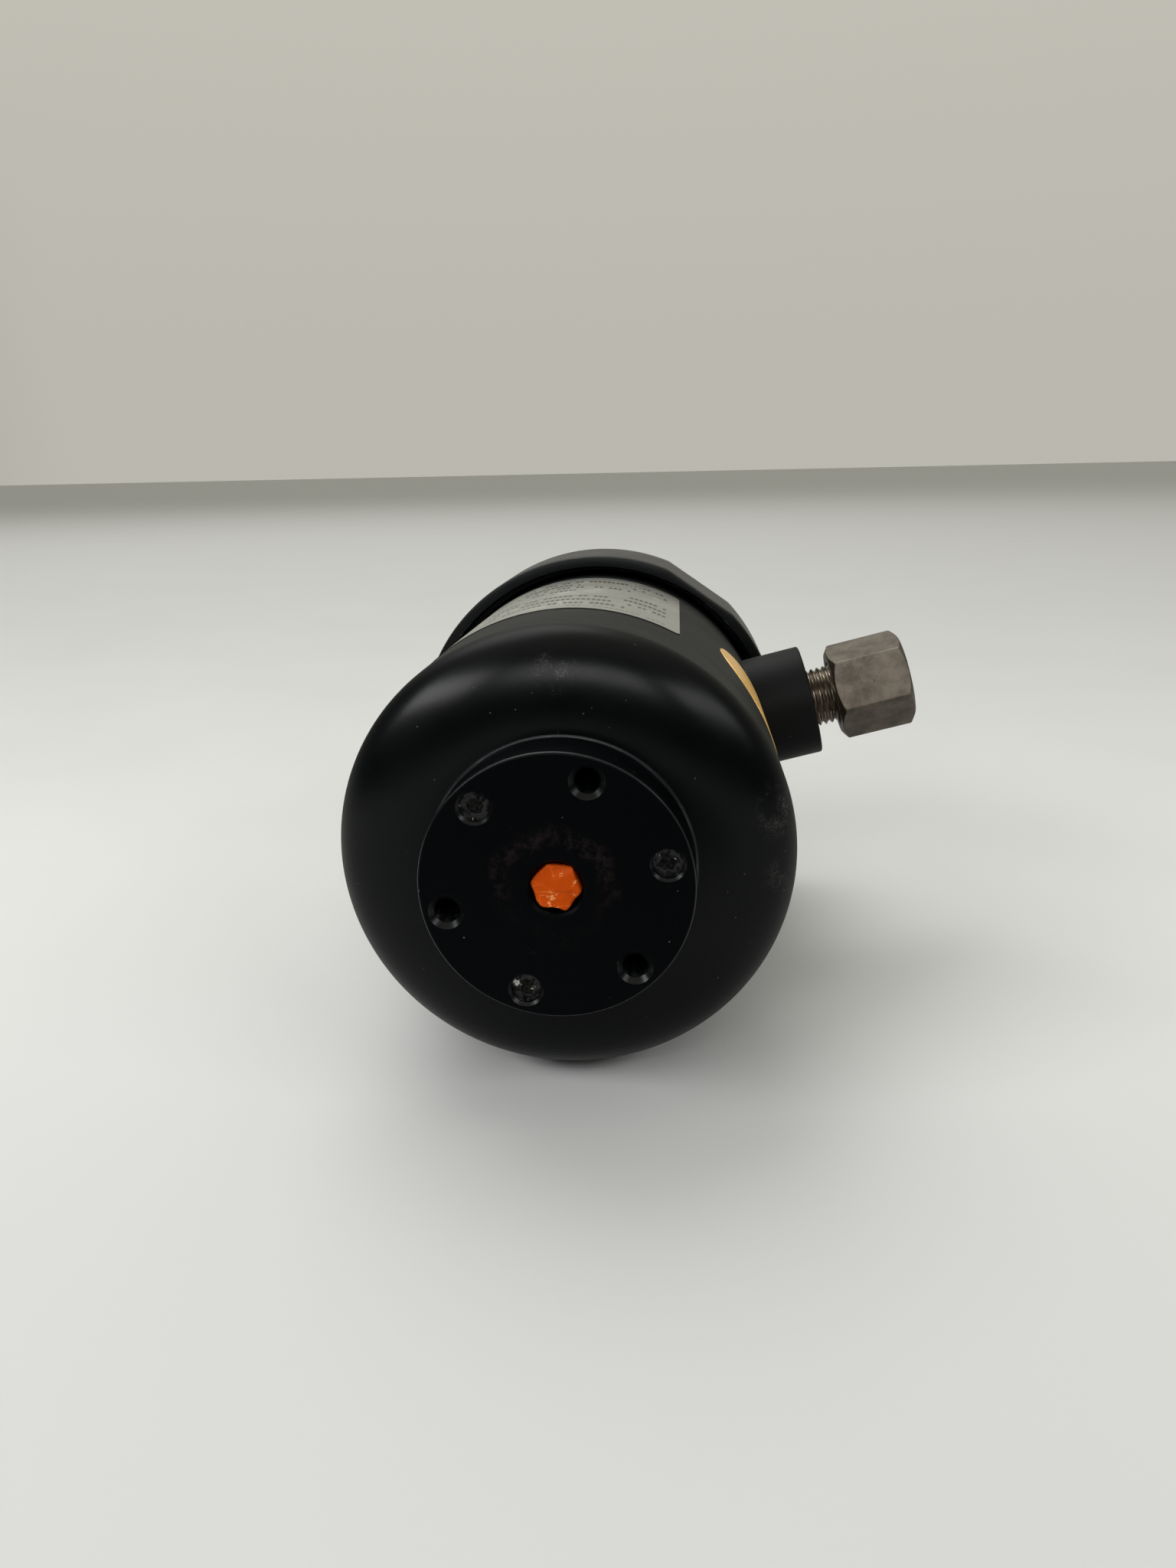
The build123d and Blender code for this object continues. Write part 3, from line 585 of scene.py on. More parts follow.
def gold_finish():
    """Gold foil with a fine woven lustre."""
    colour = settings().finish.gold
    material, graph, shader = new_finish("Gold foil")
    place = graph.place()
    weave = graph.noise(graph.stretch(place, (1.0, 0.12, 1.0)), 900.0, 3.0, 0.6)
    shade = graph.noise(place, 130.0, 4.0)
    dirt = graph.use("Dust and smears", scale=140.0, amount=0.5)
    base = graph.mix(shade, [c * 0.78 for c in colour], [min(1.0, c * 1.2) for c in colour])
    base = graph.mix(graph.math("MULTIPLY", weave, 0.35), base, [c * 0.6 for c in colour])
    base = graph.mix(graph.math("MULTIPLY", dirt["Smear"], 0.3), base, settings().finish.grime)
    graph.feed(shader.inputs["Base Color"], base)
    graph.feed(shader.inputs["Metallic"], graph.math("SUBTRACT", 0.20, graph.math("MULTIPLY", dirt["Smear"], 0.15)))
    graph.feed(shader.inputs["Roughness"], graph.math("ADD", 0.34, graph.math("MULTIPLY", shade, 0.15)))
    graph.feed(shader.inputs["Normal"], graph.bump(weave, 0.4, 0.02 * MM))
    return material


def media_finish():
    """Felted microfibre sheet."""
    colour = settings().finish.media
    material, graph, shader = new_finish("Pleated media", Specular_IOR_Level=0.2, Sheen_Weight=0.3)
    place = graph.place()
    fibre = graph.noise(graph.stretch(place, (1.0, 0.2, 1.0), (0.4, 0.3, 0.1)), 2600.0, 4.0, 0.7)
    stain = graph.noise(place, 90.0, 4.0)
    base = graph.mix(fibre, [c * 0.85 for c in colour], [min(1.0, c * 1.08) for c in colour])
    base = graph.mix(graph.ramp(stain, 0.5, 0.8, 0.0, 0.3), base, (0.45, 0.38, 0.27))
    graph.feed(shader.inputs["Base Color"], base)
    graph.feed(shader.inputs["Roughness"], graph.math("ADD", 0.75, graph.math("MULTIPLY", fibre, 0.2)))
    graph.feed(shader.inputs["Normal"], graph.bump(fibre, 0.6, 0.06 * MM))
    return material


def residue_finish():
    """Dried sealant, from black to chalky white."""
    colour = settings().finish.residue
    material, graph, shader = new_finish("Dried sealant", Specular_IOR_Level=0.12)
    place = graph.place()
    flakes = graph.noise(graph.stretch(place, (1.0, 1.0, 0.55), (0.5, 0.8, 0.3)), 900.0, 5.0, 0.7)
    low = graph.ramp(graph.split(place)[2], -12 * MM, -16 * MM, 0.0, 0.06)
    chalk = graph.ramp(graph.math("ADD", flakes, low), 0.62, 0.67)
    lumps = graph.noise(place, 2600.0, 4.0, 0.7)
    dull = graph.mix(graph.ramp(graph.noise(place, 1700.0, 3.0), 0.4, 0.75), (0.0006, 0.0006, 0.0006), (0.010, 0.010, 0.009))
    base = graph.mix(chalk, dull, colour)
    graph.feed(shader.inputs["Base Color"], base)
    graph.feed(shader.inputs["Roughness"], graph.math("ADD", 0.6, graph.math("MULTIPLY", lumps, 0.3)))
    graph.feed(shader.inputs["Normal"], graph.bump(lumps, 0.8, 0.15 * MM))
    return material


def make_finishes():
    finish = settings().finish
    black_finish("Dome black", finish.black, dust=0.42, wear=0.45, roughness=0.25, specular=0.12, scuffed=0.003, speckled=0.45, matt_behind=True,
                 rubbed=((36.5, 14, 9, 6.5), (37, 14, -3, 5), (-0.5, 11.7, 33.4, 5)))
    black_finish("Pad black", finish.pad_black, dust=0.45, wear=0.3, roughness=0.42, specular=0.04,
                 dust_scale=60.0, turned=0.35 * MM, stained=True)
    black_finish("Worn edge", [c * 4 for c in finish.black], dust=0.8, wear=0.7, roughness=0.36, specular=0.25,
                 dust_scale=240.0, scuffed=0.15)
    black_finish("Hole edge", finish.pad_black, dust=0.6, wear=0.5, roughness=0.30, specular=0.22,
                 dust_scale=240.0, scuffed=0.03)
    black_finish("Collar black", finish.black, dust=0.3, wear=0.45, roughness=0.36, specular=0.16, turned=0.25 * MM)
    black_finish("Cover black", finish.black, dust=0.35, wear=0.5, specular=0.2, turned=0.3 * MM)
    black_finish("Blackened steel", finish.pad_black, dust=0.9, wear=0.3, roughness=0.5, dust_scale=420.0)
    metal_finish("Dull nickel", finish.nickel, roughness=0.46, grime=0.62, wear=0.6, scale=300.0)
    metal_finish("Thread nickel", [c * 2.2 for c in finish.nickel], roughness=0.34, grime=0.55, wear=0.4, scale=300.0)
    metal_finish("Zinc steel", finish.steel, roughness=0.34, grime=0.2, wear=0.3)
    moulded_finish("Black rubber", finish.rubber, roughness=0.55, dust=0.45)
    moulded_finish("Cap nylon", finish.caps, roughness=0.42, grain=1100.0)
    moulded_finish("Natural acetal", finish.acetal, roughness=0.38, scattering=0.1)
    foil_finish("Silver foil", finish.silver, printed=True)
    plug_finish()
    gold_finish()
    media_finish()
    residue_finish()


# ---------------------------------------------------------------- mesh tools

def turned(name, outline, segments=192, place=None):
    """Turn (radius, y) points about the Y axis. A radius may be a function of the angle and y."""
    shape = bmesh.new()
    rings = []
    for radius, y in outline:
        if radius == 0:
            rings.append([shape.verts.new((0, y, 0))] * segments)
            continue
        ring = []
        for i in range(segments):
            angle = TAU * i / segments
            r = radius(angle, y) if callable(radius) else radius
            ring.append(shape.verts.new((r * math.cos(angle), y, r * math.sin(angle))))
        rings.append(ring)
    for here, there in zip(rings, rings[1:] + rings[:1]):
        for i in range(segments):
            j = (i + 1) % segments
            loop = list(dict.fromkeys((here[i], here[j], there[j], there[i])))
            if len(loop) > 2:
                shape.faces.new(loop)
    bmesh.ops.recalc_face_normals(shape, faces=shape.faces)
    if place:
        shape.transform(place)
    return finished(name, shape)


def finished(name, shape, sharp=32):
    """Make an object of a bmesh, smooth but for its sharp edges."""
    mesh = bpy.data.meshes.new(name)
    shape.to_mesh(mesh)
    shape.free()
    obj = bpy.data.objects.new(name, mesh)
    bpy.context.collection.objects.link(obj)
    smooth(obj, sharp)
    return obj


def smooth(obj, sharp=32):
    obj.data.shade_smooth()
    obj.data.set_sharp_from_angle(angle=math.radians(sharp))


def settle(obj):
    """Apply the object's modifiers to its mesh."""
    graph = bpy.context.evaluated_depsgraph_get()
    mesh = bpy.data.meshes.new_from_object(obj.evaluated_get(graph), depsgraph=graph)
    obj.modifiers.clear()
    obj.data = mesh


def combine(obj, tool, operation):
    """Add, cut or keep the shared part of a tool, which is used up."""
    change = obj.modifiers.new(operation, "BOOLEAN")
    change.operation = operation
    change.solver = "EXACT"
    change.object = tool
    settle(obj)
    bpy.data.objects.remove(tool)


def arc(centre, radii, start, end, count):
    """Points of an ellipse's arc, as (radius, y), with the ends left in."""
    points = []
    for i in range(count + 1):
        a = math.radians(start + (end - start) * i / count)
        points.append((centre[0] + radii[0] * math.cos(a), centre[1] + radii[1] * math.sin(a)))
    return points


def line(start, end, count):
    """Evenly spaced points between two (radius, y) points, without the last."""
    return [(start[0] + (end[0] - start[0]) * i / count, start[1] + (end[1] - start[1]) * i / count)
            for i in range(count)]


def screw(root, crest, pitch, start, end):
    """Radius of a right-hand thread, fading out at both ends."""
    def radius(angle, y):
        phase = (y / pitch + angle / TAU) % 1
        ridge = min(1.0, max(0.0, (1 - abs(2 * phase - 1)) * 1.35 - 0.15))
        fade = min(1.0, max(0.0, (y - start) / (0.7 * pitch)), max(0.0, (end - y) / (0.7 * pitch)))
        return root + (crest - root) * ridge * fade
    return radius


def screw_rows(root, crest, pitch, start, end, rows=8):
    """Outline points of a thread, close enough to show its flanks."""
    count = max(2, round((end - start) / pitch * rows))
    radius = screw(root, crest, pitch, start, end)
    return [(radius, start + (end - start) * i / count) for i in range(count + 1)]


def at_angle(angle, radius, y=0.0):
    """Point at an angle in degrees from +X towards +Z about the housing axis."""
    a = math.radians(angle)
    return Vector((radius * math.cos(a), y, radius * math.sin(a)))


def boss_frame():
    """Matrix from the turned-piece frame to the boss: its Y runs outwards from the housing axis."""
    across = Vector((0, 1, 0))
    third = across.cross(BOSS_OUT)
    turn = Matrix((across, BOSS_OUT, third)).transposed().to_4x4()
    return Matrix.Translation((0, settings().housing.boss_place, 0)) @ turn


def dress(obj, *materials):
    """Give an object its finishes, in slot order."""
    obj.data.materials.clear()
    for name in materials:
        obj.data.materials.append(bpy.data.materials[name])


def stand_for(obj, node, body):
    """Let a detailed piece take a CAD node's place."""
    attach(obj, body)
    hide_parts(node)


def paint(node, material):
    """Give a CAD node a finish."""
    for slot in frame["nodes"][node].material_slots:
        slot.material = bpy.data.materials[material]


# ---------------------------------------------------------------- pieces

class Piece(bpy.types.Operator):
    """Common part of the operators that make pieces"""
    bl_options = {"REGISTER", "UNDO"}

    def execute(self, context):
        self.make(context.scene.air_filter)
        return {"FINISHED"}


def housing_outline(s):
    """Closed outline of the shell: inside floor, bore, thread, body, dome, pad, port."""
    root = s.thread - 0.9 * MM
    thread_start = s.length - s.thread_length
    wall = s.floor + s.floor_rise
    dome_end = s.pad_height + s.dome
    points = line((s.passage, s.floor), (s.floor_flat, s.floor), 4)
    points += arc((s.floor_flat, wall), (s.bore - s.floor_flat, s.floor_rise), -90, 0, 16)[:-1]
    points += line((s.bore, wall), (s.bore, s.length), 12)
    points += [(s.bore + 0.3 * MM, s.length), (root - 0.4 * MM, s.length), (root, s.length - 0.4 * MM)]
    points += reversed(screw_rows(root, s.thread, 2 * MM, thread_start + 0.3 * MM, s.length - 0.6 * MM))
    points += [(root, thread_start), (s.radius - 0.3 * MM, thread_start)]
    points += line((s.radius, thread_start - 0.3 * MM), (s.radius, dome_end), 16)
    points += arc((s.pad, dome_end), (s.radius - s.pad, s.dome), 0, -90, 48)[:-1]
    points += [(s.pad + 0.5 * MM, s.pad_height), (s.pad + 0.15 * MM, s.pad_height - 0.15 * MM)]
    points += line((s.pad, s.pad_height - 0.5 * MM), (s.pad, s.pad_edge * 1.2), 6)
    points += arc((s.pad - s.pad_edge, s.pad_edge), (s.pad_edge, s.pad_edge), 0, -90, 5)
    points += line((s.pad - 1.6 * s.pad_edge, 0), (s.port + 0.45 * MM, 0), 6)
    points += [(s.port + 0.45 * MM, 0), (s.port, 0.45 * MM), (s.port, s.port_depth)]
    points += [(s.passage, s.port_depth)]
    return points


def pad_hole_cutter(s, angle, radius):
    """Threaded hole with a chamfered mouth, as a solid to cut away."""
    out = 0.4 * MM
    wide = s.hole + s.hole_mouth
    mouth = wide - radius
    points = [(0, -out), (wide, -out), (wide, 0), (radius, mouth)]
    points += screw_rows(radius, radius + 0.32 * MM, 0.8 * MM, mouth + 0.1 * MM, s.hole_depth - 1.2 * MM, 6)
    points += [(radius, s.hole_depth), (0, s.hole_depth + 1.1 * MM)]
    place = Matrix.Translation(at_angle(angle, s.hole_circle))
    return turned("hole_cutter", points, 40, place)


def housing_zone(s, face):
    """Slot of a face: 0 body, 1 pad, 2 the pad's rim and the corner round its base, 3 mouths of the holes."""
    spot = face.center
    radius = math.hypot(spot.x, spot.z)
    rim = 0.15 < spot.y / s.pad_edge < 0.60 and radius > s.pad - 0.7 * s.pad_edge
    mouth = 0.02 * MM < spot.y < s.hole_mouth and 2 * s.port < radius < s.pad - s.pad_edge
    if spot.y > s.hole_mouth and radius < s.pad - 1 * MM:
        return 0
    corner = abs(spot.y - s.pad_height + 0.2 * MM) < 0.25 * MM and radius < s.pad + 0.5 * MM
    if mouth:
        return 3
    if rim or corner:
        return 2
    return int(spot.y < s.pad_height - 0.4 * MM and radius < s.pad + 0.01 * MM)


def boss_solid(s):
    """Side boss with a lightly broken edge."""
    edge = 0.5 * MM
    points = [(0, s.bore + 3 * MM), (s.boss, s.bore + 3 * MM), (s.boss, s.boss_end - 7 * MM)]
    points += [(s.boss, s.boss_end - edge)]
    points += arc((s.boss - edge, s.boss_end - edge), (edge, edge), 20, 90, 4)
    points += [(s.boss * 0.8, s.boss_end), (0, s.boss_end)]
    return turned("boss", points, 96, boss_frame())


def inlet_cutter(s, fitting):
    """Stepped hole through the boss: seal recess, nipple thread, air passage."""
    out = 1 * MM
    ring = fitting.thread + 1.65 * MM
    recess = s.boss_end - 1.6 * MM
    clear = fitting.thread + 0.05 * MM
    points = [(0, s.boss_end + out), (ring + 0.3 * MM, s.boss_end + out), (ring + 0.3 * MM, s.boss_end)]
    points += [(ring, s.boss_end - 0.3 * MM), (ring, recess), (clear, recess), (clear, fitting.start)]
    points += [(4.5 * MM, fitting.start), (4.5 * MM, s.bore - 4 * MM), (0, s.bore - 4 * MM)]
    return turned("inlet_cutter", points, 64, boss_frame())


class AIRFILTER_OT_housing(Piece):
    """Make the black pressure housing with its pad, holes and side boss"""
    bl_idname = "air_filter.housing"
    bl_label = "Housing"

    def make(self, s):
        sizes = s.housing
        shell = turned("housing_shell", housing_outline(sizes))
        combine(shell, boss_solid(sizes), "UNION")
        combine(shell, inlet_cutter(sizes, s.fitting), "DIFFERENCE")
        for i in range(6):
            radius = sizes.screw_hole if i % 2 else sizes.hole
            angle = math.degrees(sizes.first_hole) + 60 * i
            combine(shell, pad_hole_cutter(sizes, angle, radius), "DIFFERENCE")
        dress(shell, "Dome black", "Pad black", "Worn edge", "Hole edge")
        for face in shell.data.polygons:
            face.material_index = housing_zone(sizes, face)
        smooth(shell)
        stand_for(shell, "housing", "housing")


class AIRFILTER_OT_blanking_screws(Piece):
    """Finish the set screws and put dried sealant over them"""
    bl_idname = "air_filter.blanking_screws"
    bl_label = "Blanking screws"

    def make(self, s):
        paint("blanking_screws", "Blackened steel")
        sizes = s.housing
        for i in range(3):
            angle = math.degrees(sizes.first_hole) - 60 + 120 * i
            crust = sealant_crust(i, sizes.screw_hole, at_angle(angle, sizes.hole_circle, 1.25 * MM))
            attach(crust, "housing")


def sealant_crust(number, radius, centre):
    """Uneven crust that fills the hole's mouth over a set screw."""
    rows = 14
    points = [(0, 0)] + [(radius * i / rows, 0) for i in range(1, rows + 1)]
    points += [(radius * 1.02, 0.25 * MM), (radius * 0.6, 0.3 * MM), (0, 0.3 * MM)]
    crust = turned(f"sealant_crust_{number + 1}", points, 40)
    seed = Vector((number * 3.7, 1.3, number * 1.9))
    for vertex in crust.data.vertices:
        spot = vertex.co
        if spot.y < 0.1 * MM:
            lump = noise.fractal(spot * 1400 + seed, 0.9, 2.0, 4)
            edge = (math.hypot(spot.x, spot.z) / radius) ** 3
            spot.y -= 0.55 * MM * max(-0.4, lump) * (1 - 0.6 * edge) + 0.15 * MM * edge
    crust.data.transform(Matrix.Translation(centre))
    smooth(crust, 60)
    dress(crust, "Dried sealant")
    return crust


class AIRFILTER_OT_port_plug(Piece):
    """Make the chewed orange plug in the central port"""
    bl_idname = "air_filter.port_plug"
    bl_label = "Port plug"

    def make(self, s):
        low, high = corners("port_plug")
        port = s.housing.port
        plug = turned("orange_plug", plug_outline(low.y, high.y, port), 120)
        for vertex in plug.data.vertices:
            spot = vertex.co
            if spot.y < low.y + 2.2 * MM:
                dent = noise.noise_vector(spot * 380 + Vector((4.1, 0.7, 2.3)))
                crease = abs(noise.noise(spot * 520 + Vector((1.7, 5.2, 0.4))))
                spot += Vector((dent.x, 0.0, dent.z)) * 0.30 * MM
                spot.y = max(low.y, spot.y + (0.55 * dent.y + 0.5 * crease) * MM)
        smooth(plug, 30)
        dress(plug, "Orange plug plastic")
        stand_for(plug, "port_plug", "port_plug")


def plug_outline(top, end, port):
    """Hexagonal head with soft corners, then a stem with four ribs."""
    flats = 3.72 * MM

    def head(scale):
        return lambda angle, y: scale * soft_hexagon(angle, flats, 0.18 * MM, math.radians(20))

    base = top + 4.0 * MM
    points = [(0, top)] + [(head(0.90 * i / 14), top) for i in range(1, 15)]
    points += [(head(0.95), top + 0.08 * MM), (head(0.99), top + 0.3 * MM), (head(1.0), top + 0.7 * MM)]
    points += [(head(1.0), top + 0.8 * MM + 0.8 * MM * i) for i in range(1, 4)]
    root = port - 0.9 * MM
    points += [(root, base)]
    step = (end - 0.3 * MM - base) / 4
    for i in range(4):
        y = base + i * step
        points += [(port - 0.12 * MM, y + 0.15 * MM), (port - 0.12 * MM, y + 0.5 * MM), (root, y + step - 0.05 * MM)]
    return points + [(root - 0.5 * MM, end), (0, end)]


def soft_hexagon(angle, flats, corner, turn=0.0):
    """Radius of a hexagon with rounded corners, half its width across flats being given."""
    a = (angle - turn + math.pi / 6) % (math.pi / 3) - math.pi / 6
    sides = [flats / math.cos(a + k * math.pi / 3) for k in (-1, 0, 1) if math.cos(a + k * math.pi / 3) > 0.1]
    # smooth minimum of the three nearest sides
    low = min(sides)
    return low - corner * math.log(sum(math.exp((low - side) / corner) for side in sides))


class AIRFILTER_OT_labels(Piece):
    """Make the silver rating label and finish the gold round sticker"""
    bl_idname = "air_filter.labels"
    bl_label = "Labels"

    def make(self, s):
        rating = wrapped_label("rating_foil", *corners("rating_label"), s.housing.radius)
        dress(rating, "Silver foil")
        stand_for(rating, "rating_label", "housing")
        paint("round_label", "Gold foil")


def wrapped_label(name, low, high, radius):
    """Rounded rectangle of foil wrapped round the body, with a UV map for its printing."""
    first = math.acos(high.x / radius)
    last = math.acos(max(-1.0, low.x / radius))
    thick = 0.14 * MM
    corner = 1.6 * MM
    columns, rows = 120, 48
    shape = bmesh.new()
    layer = shape.loops.layers.uv.new("print")
    grid = []
    for lift in (thick, 0.0):
        sheet = []
        for i in range(columns + 1):
            across = i / columns
            reach = (last - first) * radius
            inset = corner_inset(min(across, 1 - across) * reach, corner)
            column = []
            for j in range(rows + 1):
                y = low.y + inset + (high.y - low.y - 2 * inset) * j / rows
                angle = first + (last - first) * across
                r = radius + lift
                column.append(shape.verts.new((r * math.cos(angle), y, r * math.sin(angle))))
            sheet.append(column)
        grid.append(sheet)
    top, under = grid
    for i in range(columns):
        for j in range(rows):
            face = shape.faces.new((top[i][j], top[i + 1][j], top[i + 1][j + 1], top[i][j + 1]))
            for loop, (u, v) in zip(face.loops, ((i, j), (i + 1, j), (i + 1, j + 1), (i, j + 1))):
                loop[layer].uv = (u / columns, v / rows)
            shape.faces.new((under[i][j], under[i][j + 1], under[i + 1][j + 1], under[i + 1][j]))
    for i in range(columns):
        shape.faces.new((top[i][0], under[i][0], under[i + 1][0], top[i + 1][0]))
        shape.faces.new((top[i][rows], top[i + 1][rows], under[i + 1][rows], under[i][rows]))
    for j in range(rows):
        shape.faces.new((top[0][j], top[0][j + 1], under[0][j + 1], under[0][j]))
        shape.faces.new((top[columns][j], under[columns][j], under[columns][j + 1], top[columns][j + 1]))
    bmesh.ops.recalc_face_normals(shape, faces=shape.faces)
    return finished(name, shape)


def corner_inset(distance, corner):
    """How far a rounded corner stands back at this distance from the end."""
    if distance >= corner:
        return 0.0
    return corner - math.sqrt(corner ** 2 - (corner - distance) ** 2)


class AIRFILTER_OT_collar(Piece):
    """Make the collar with its spanner flats and inner thread"""
    bl_idname = "air_filter.collar"
    bl_label = "Collar"

    def make(self, s):
        collar = turned("collar_ring", collar_outline(s.collar), 288)
        smooth(collar, 28)
        dress(collar, "Collar black")
        stand_for(collar, "collar", "collar")


def flatted(s, inset=0.0):
    """Outer radius of the collar, cut back where a flat lies."""
    pitch = TAU / s.flats

    def radius(angle, y):
        off = (angle - s.first_flat + pitch / 2) % pitch - pitch / 2
        return min(s.radius, (s.radius - s.flat_depth) / math.cos(off)) - inset
    return radius


def collar_outline(s):
    """Closed outline: outer face from front to rear, lip, thread, skirt."""
    edge = 0.5 * MM
    points = [(flatted(s, edge), s.start), (flatted(s, edge * 0.3), s.start + edge * 0.3)]
    points += [(flatted(s), s.start + edge + (s.end - s.start - 2 * edge) * i / 8) for i in range(9)]
    points += [(flatted(s, edge * 0.3), s.end - edge * 0.3), (flatted(s, edge), s.end)]
    points += [(s.lip_radius + edge, s.end), (s.lip_radius, s.end - edge)]
    points += [(s.lip_radius, s.end - s.lip), (s.thread, s.end - s.lip)]
    low = s.start + s.skirt_length
    points += reversed(screw_rows(s.thread + s.thread_depth, s.thread, s.pitch, low + 0.3 * MM,
                                  s.end - s.lip - 1.5 * MM))
    points += [(s.thread + s.thread_depth, low), (s.skirt, low), (s.skirt, s.start + edge)]
    points += [(s.skirt + edge * 0.7, s.start)]
    return points


class AIRFILTER_OT_fitting(Piece):
    """Make the threaded nipple and the hexagon nut, and finish the ferrule"""
    bl_idname = "air_filter.fitting"
    bl_label = "Tube fitting"

    def make(self, s):
        sizes = s.fitting
        stud = turned("threaded_nipple", stud_outline(sizes), 96, boss_frame())
        dress(stud, "Thread nickel")
        stand_for(stud, "inlet_stud", "housing")
        nut = turned("hexagon_nut", nut_outline(sizes), 240, boss_frame())
        smooth(nut, 24)
        dress(nut, "Dull nickel")
        stand_for(nut, "tube_nut", "tube_nut")
        paint("ferrule", "Dull nickel")


def stud_outline(s):
    """Bore, then the outside with its thread and a coned mouth."""
    root = s.thread - s.thread_depth
    points = [(s.bore, s.start), (root, s.start)]
    points += screw_rows(root, s.thread, s.pitch, s.start + 0.2 * MM, s.end - 0.3 * MM)
    return points + [(root, s.end), (s.tube + 0.9 * MM, s.end), (s.bore, s.end - 4 * MM)]


def nut_outline(s):
    """Hexagon trimmed by a cone at both ends, with its thread and tube hole."""
    end = s.nut_start + s.nut_length
    half = s.flats / 2

    def outer(angle, y):
        rise = min(y - s.nut_start, end - y) * 1.5
        return min(soft_hexagon(angle, half, 0.10 * MM, s.nut_turn + math.pi / 6), half - 0.25 * MM + rise)

    steps = [0.0, 0.12, 0.25, 0.4, 0.55, 0.7, 0.85, 1.0, 1.15, 1.3, 1.5, 1.7, 2.2, 4.0]
    front = [(outer, s.nut_start + step * MM) for step in steps]
    back = [(outer, end - step * MM) for step in reversed(steps)]
    inner_end = end - 5.2 * MM
    clear = s.thread + 0.2 * MM
    points = [(clear + 0.7 * MM, s.nut_start)] + front + back
    points += [(s.tube + 0.4 * MM, end), (s.tube, end - 0.4 * MM), (s.tube, end - 2.9 * MM)]
    points += [(s.tube + 1.35 * MM, end - 2.9 * MM), (clear, inner_end)]
    points += reversed(screw_rows(clear + 0.5 * MM, clear, s.pitch, s.nut_start + 1.1 * MM, inner_end - 1 * MM, 6))
    return points + [(clear + 0.5 * MM, s.nut_start + 0.7 * MM)]


class AIRFILTER_OT_closure(Piece):
    """Finish the end cover and the slip washer"""
    bl_idname = "air_filter.closure"
    bl_label = "Closure"

    def make(self, s):
        paint("end_cover", "Cover black")
        paint("slip_washer", "Natural acetal")


class AIRFILTER_OT_element(Piece):
    """Finish the filter element and what clamps it"""
    bl_idname = "air_filter.element"
    bl_label = "Filter element"

    def make(self, s):
        paint("pleated_media", "Pleated media")
        for node in ("front_cap", "rear_cap"):
            paint(node, "Cap nylon")
        for node in ("outer_sleeve", "core_tube", "tie_rod", "clamp_washer", "retaining_nut"):
            paint(node, "Zinc steel")
        paint("outlet_seat", "Natural acetal")


class AIRFILTER_OT_seals(Piece):
    """Finish the rubber seals"""
    bl_idname = "air_filter.seals"
    bl_label = "Seals"

    def make(self, s):
        for node in ("seat_o_ring", "cover_o_ring", "boss_o_ring", "rear_gasket"):
            paint(node, "Black rubber")


# ---------------------------------------------------------------- studio

def make_floor(s):
    """Pale floor under the object's lowest point, with a painted shadow below the camera and a painted falloff of
    light towards the camera.
    """
    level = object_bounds()[0][2]
    shape = bmesh.new()
    bmesh.ops.create_grid(shape, x_segments=4, y_segments=4, size=40.0)
    shape.transform(Matrix.Translation((0, 0, level)))
    floor = finished("studio_floor", shape)
    material, graph, shader = new_finish("Pale floor", Specular_IOR_Level=0.25)
    place = graph.place()
    cloud = graph.noise(place, 14.0, 3.0)
    pale = graph.mix(cloud, [c * 0.97 for c in s.finish.floor], s.finish.floor)
    away = graph.node("ShaderNodeVectorMath", operation="DISTANCE")
    graph.feed(away.inputs[0], place)
    graph.feed(away.inputs[1], (s.studio.camera_at[0], s.studio.camera_at[1] - 0.06, level))
    # Painted shadow: a soft near-black patch on the floor below the camera stands in for the camera's shadow.
    shadow = graph.ramp(away.outputs["Value"], 0.06, 0.145, s.studio.shadow, 0.0)
    # Painted shade: a broad falloff of light, painted into the floor colour, darkens it towards the camera.
    pale = graph.mix(graph.ramp(away.outputs["Value"], 0.08, 0.42, 0.26, 0.0), pale, (0.01, 0.01, 0.01))
    graph.feed(shader.inputs["Base Color"], graph.mix(shadow, pale, (0.01, 0.01, 0.01)))
    graph.feed(shader.inputs["Roughness"], graph.ramp(cloud, 0.3, 0.7, 0.5, 0.6))
    floor.data.materials.append(material)
    floor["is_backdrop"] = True


def make_surroundings(s):
    """Pale room, dark behind the camera up to the height where its lamps start."""
    world = bpy.data.worlds.new("Studio")
    bpy.context.scene.world = world
    world.use_nodes = True
    graph = Graph(world.node_tree)
    x, y, z = graph.split(graph.node("ShaderNodeTexCoord").outputs["Generated"])
    wall = graph.mix(graph.ramp(z, 0.0, 0.6), (0.88, 0.86, 0.76), (1.0, 0.98, 0.86))
    ahead = graph.math("MULTIPLY", graph.ramp(y, -0.15, 0.62, 0.01, 1.0), graph.ramp(x, -0.80, -0.45, 0.15, 1.0))
    low = graph.ramp(z, 0.62, 0.95, 0.0, 1.4)
    bright = graph.math("MAXIMUM", ahead, low)
    back = next(n for n in world.node_tree.nodes if n.type == "BACKGROUND")
    graph.feed(back.inputs["Color"], wall)
    graph.feed(back.inputs["Strength"], graph.math("MULTIPLY", bright, s.studio.sky))


def make_light(name, at, towards, size, power, colour=(1.0, 1.0, 1.0)):
    """Soft rectangular light."""
    data = bpy.data.lights.new(name, "AREA")
    data.shape = "RECTANGLE"
    data.size, data.size_y = size
    data.energy = power
    data.color = colour
    lamp = bpy.data.objects.new(name, data)
    lamp.location = at
    lamp.rotation_euler = (Vector(towards) - Vector(at)).to_track_quat("-Z", "Y").to_euler()
    bpy.context.collection.objects.link(lamp)


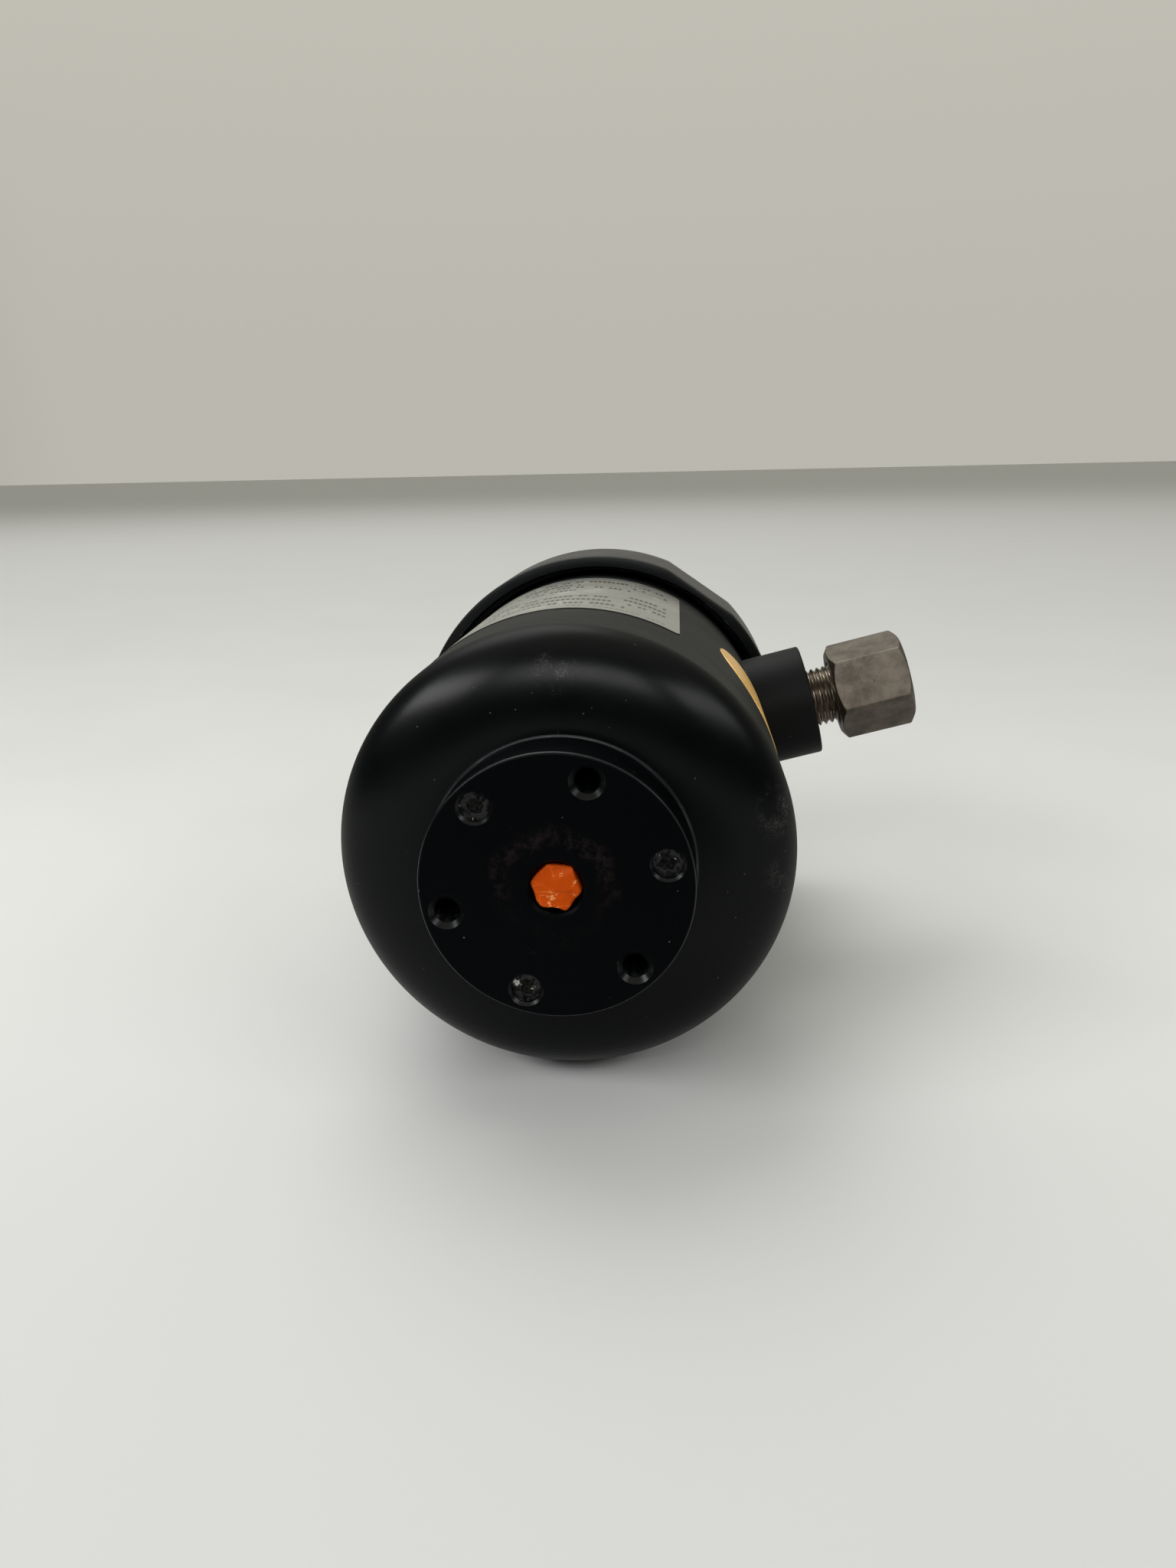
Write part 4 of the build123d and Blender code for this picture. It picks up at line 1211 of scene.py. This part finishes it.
def make_camera(s):
    data = bpy.data.cameras.new("Camera")
    data.sensor_width = 36.0
    data.lens = s.studio.lens
    data.clip_start = 0.005
    data.clip_end = 200.0
    camera = bpy.data.objects.new("Camera", data)
    camera.location = s.studio.camera_at
    camera.rotation_euler = Euler(s.studio.camera_turn)
    bpy.context.collection.objects.link(camera)
    bpy.context.scene.camera = camera


class AIRFILTER_OT_studio(Piece):
    """Make the floor, the light and the camera"""
    bl_idname = "air_filter.studio"
    bl_label = "Studio"

    def make(self, s):
        make_floor(s)
        make_surroundings(s)
        make_light("Key", (-0.9, 1.4, 3.0), (0, 0, 0), (2.6, 2.0), s.studio.key)
        for side, share in ((-1, 1.7), (0, 1.0), (1, 0.9)):
            make_light(f"Strip_{side + 2}", (side * 0.62, -0.75 + 0.3 * abs(side), 0.50), (0, 0, 0.03),
                       (0.60, 0.20), s.studio.strip * share)
        make_camera(s)
        bpy.context.scene.view_settings.view_transform = "Standard"


class AIRFILTER_OT_finishes(Piece):
    """Make the shader groups and the finishes"""
    bl_idname = "air_filter.finishes"
    bl_label = "Finishes"

    def make(self, s):
        make_effects()
        make_finishes()


STEPS = (
    AIRFILTER_OT_finishes,
    AIRFILTER_OT_housing,
    AIRFILTER_OT_blanking_screws,
    AIRFILTER_OT_port_plug,
    AIRFILTER_OT_labels,
    AIRFILTER_OT_collar,
    AIRFILTER_OT_fitting,
    AIRFILTER_OT_closure,
    AIRFILTER_OT_element,
    AIRFILTER_OT_seals,
    AIRFILTER_OT_studio,
)


class AIRFILTER_PT_sidebar(bpy.types.Panel):
    """Sidebar panel that lists the steps and the settings"""
    bl_idname = "AIRFILTER_PT_sidebar"
    bl_label = "Compressed air filter"
    bl_space_type = "VIEW_3D"
    bl_region_type = "UI"
    bl_category = "Air filter"

    def draw(self, context):
        layout = self.layout
        for step in STEPS:
            layout.operator(step.bl_idname)
        for part in ("housing", "fitting", "collar", "finish", "studio"):
            box = layout.box()
            box.label(text=part.capitalize())
            group = getattr(context.scene.air_filter, part)
            for name in group.__annotations__:
                box.prop(group, name)


CLASSES = (HousingSizes, FittingSizes, CollarSizes, Finishes, StudioSettings, FilterSettings) + STEPS + (
    AIRFILTER_PT_sidebar,)


def register():
    for cls in CLASSES:
        bpy.utils.register_class(cls)
    bpy.types.Scene.air_filter = PointerProperty(type=FilterSettings)


def unregister():
    del bpy.types.Scene.air_filter
    for cls in reversed(CLASSES):
        bpy.utils.unregister_class(cls)


def main():
    register()
    for step in STEPS:
        group, name = step.bl_idname.split(".")
        getattr(getattr(bpy.ops, group), name)()


if __name__ == "__main__":
    main()
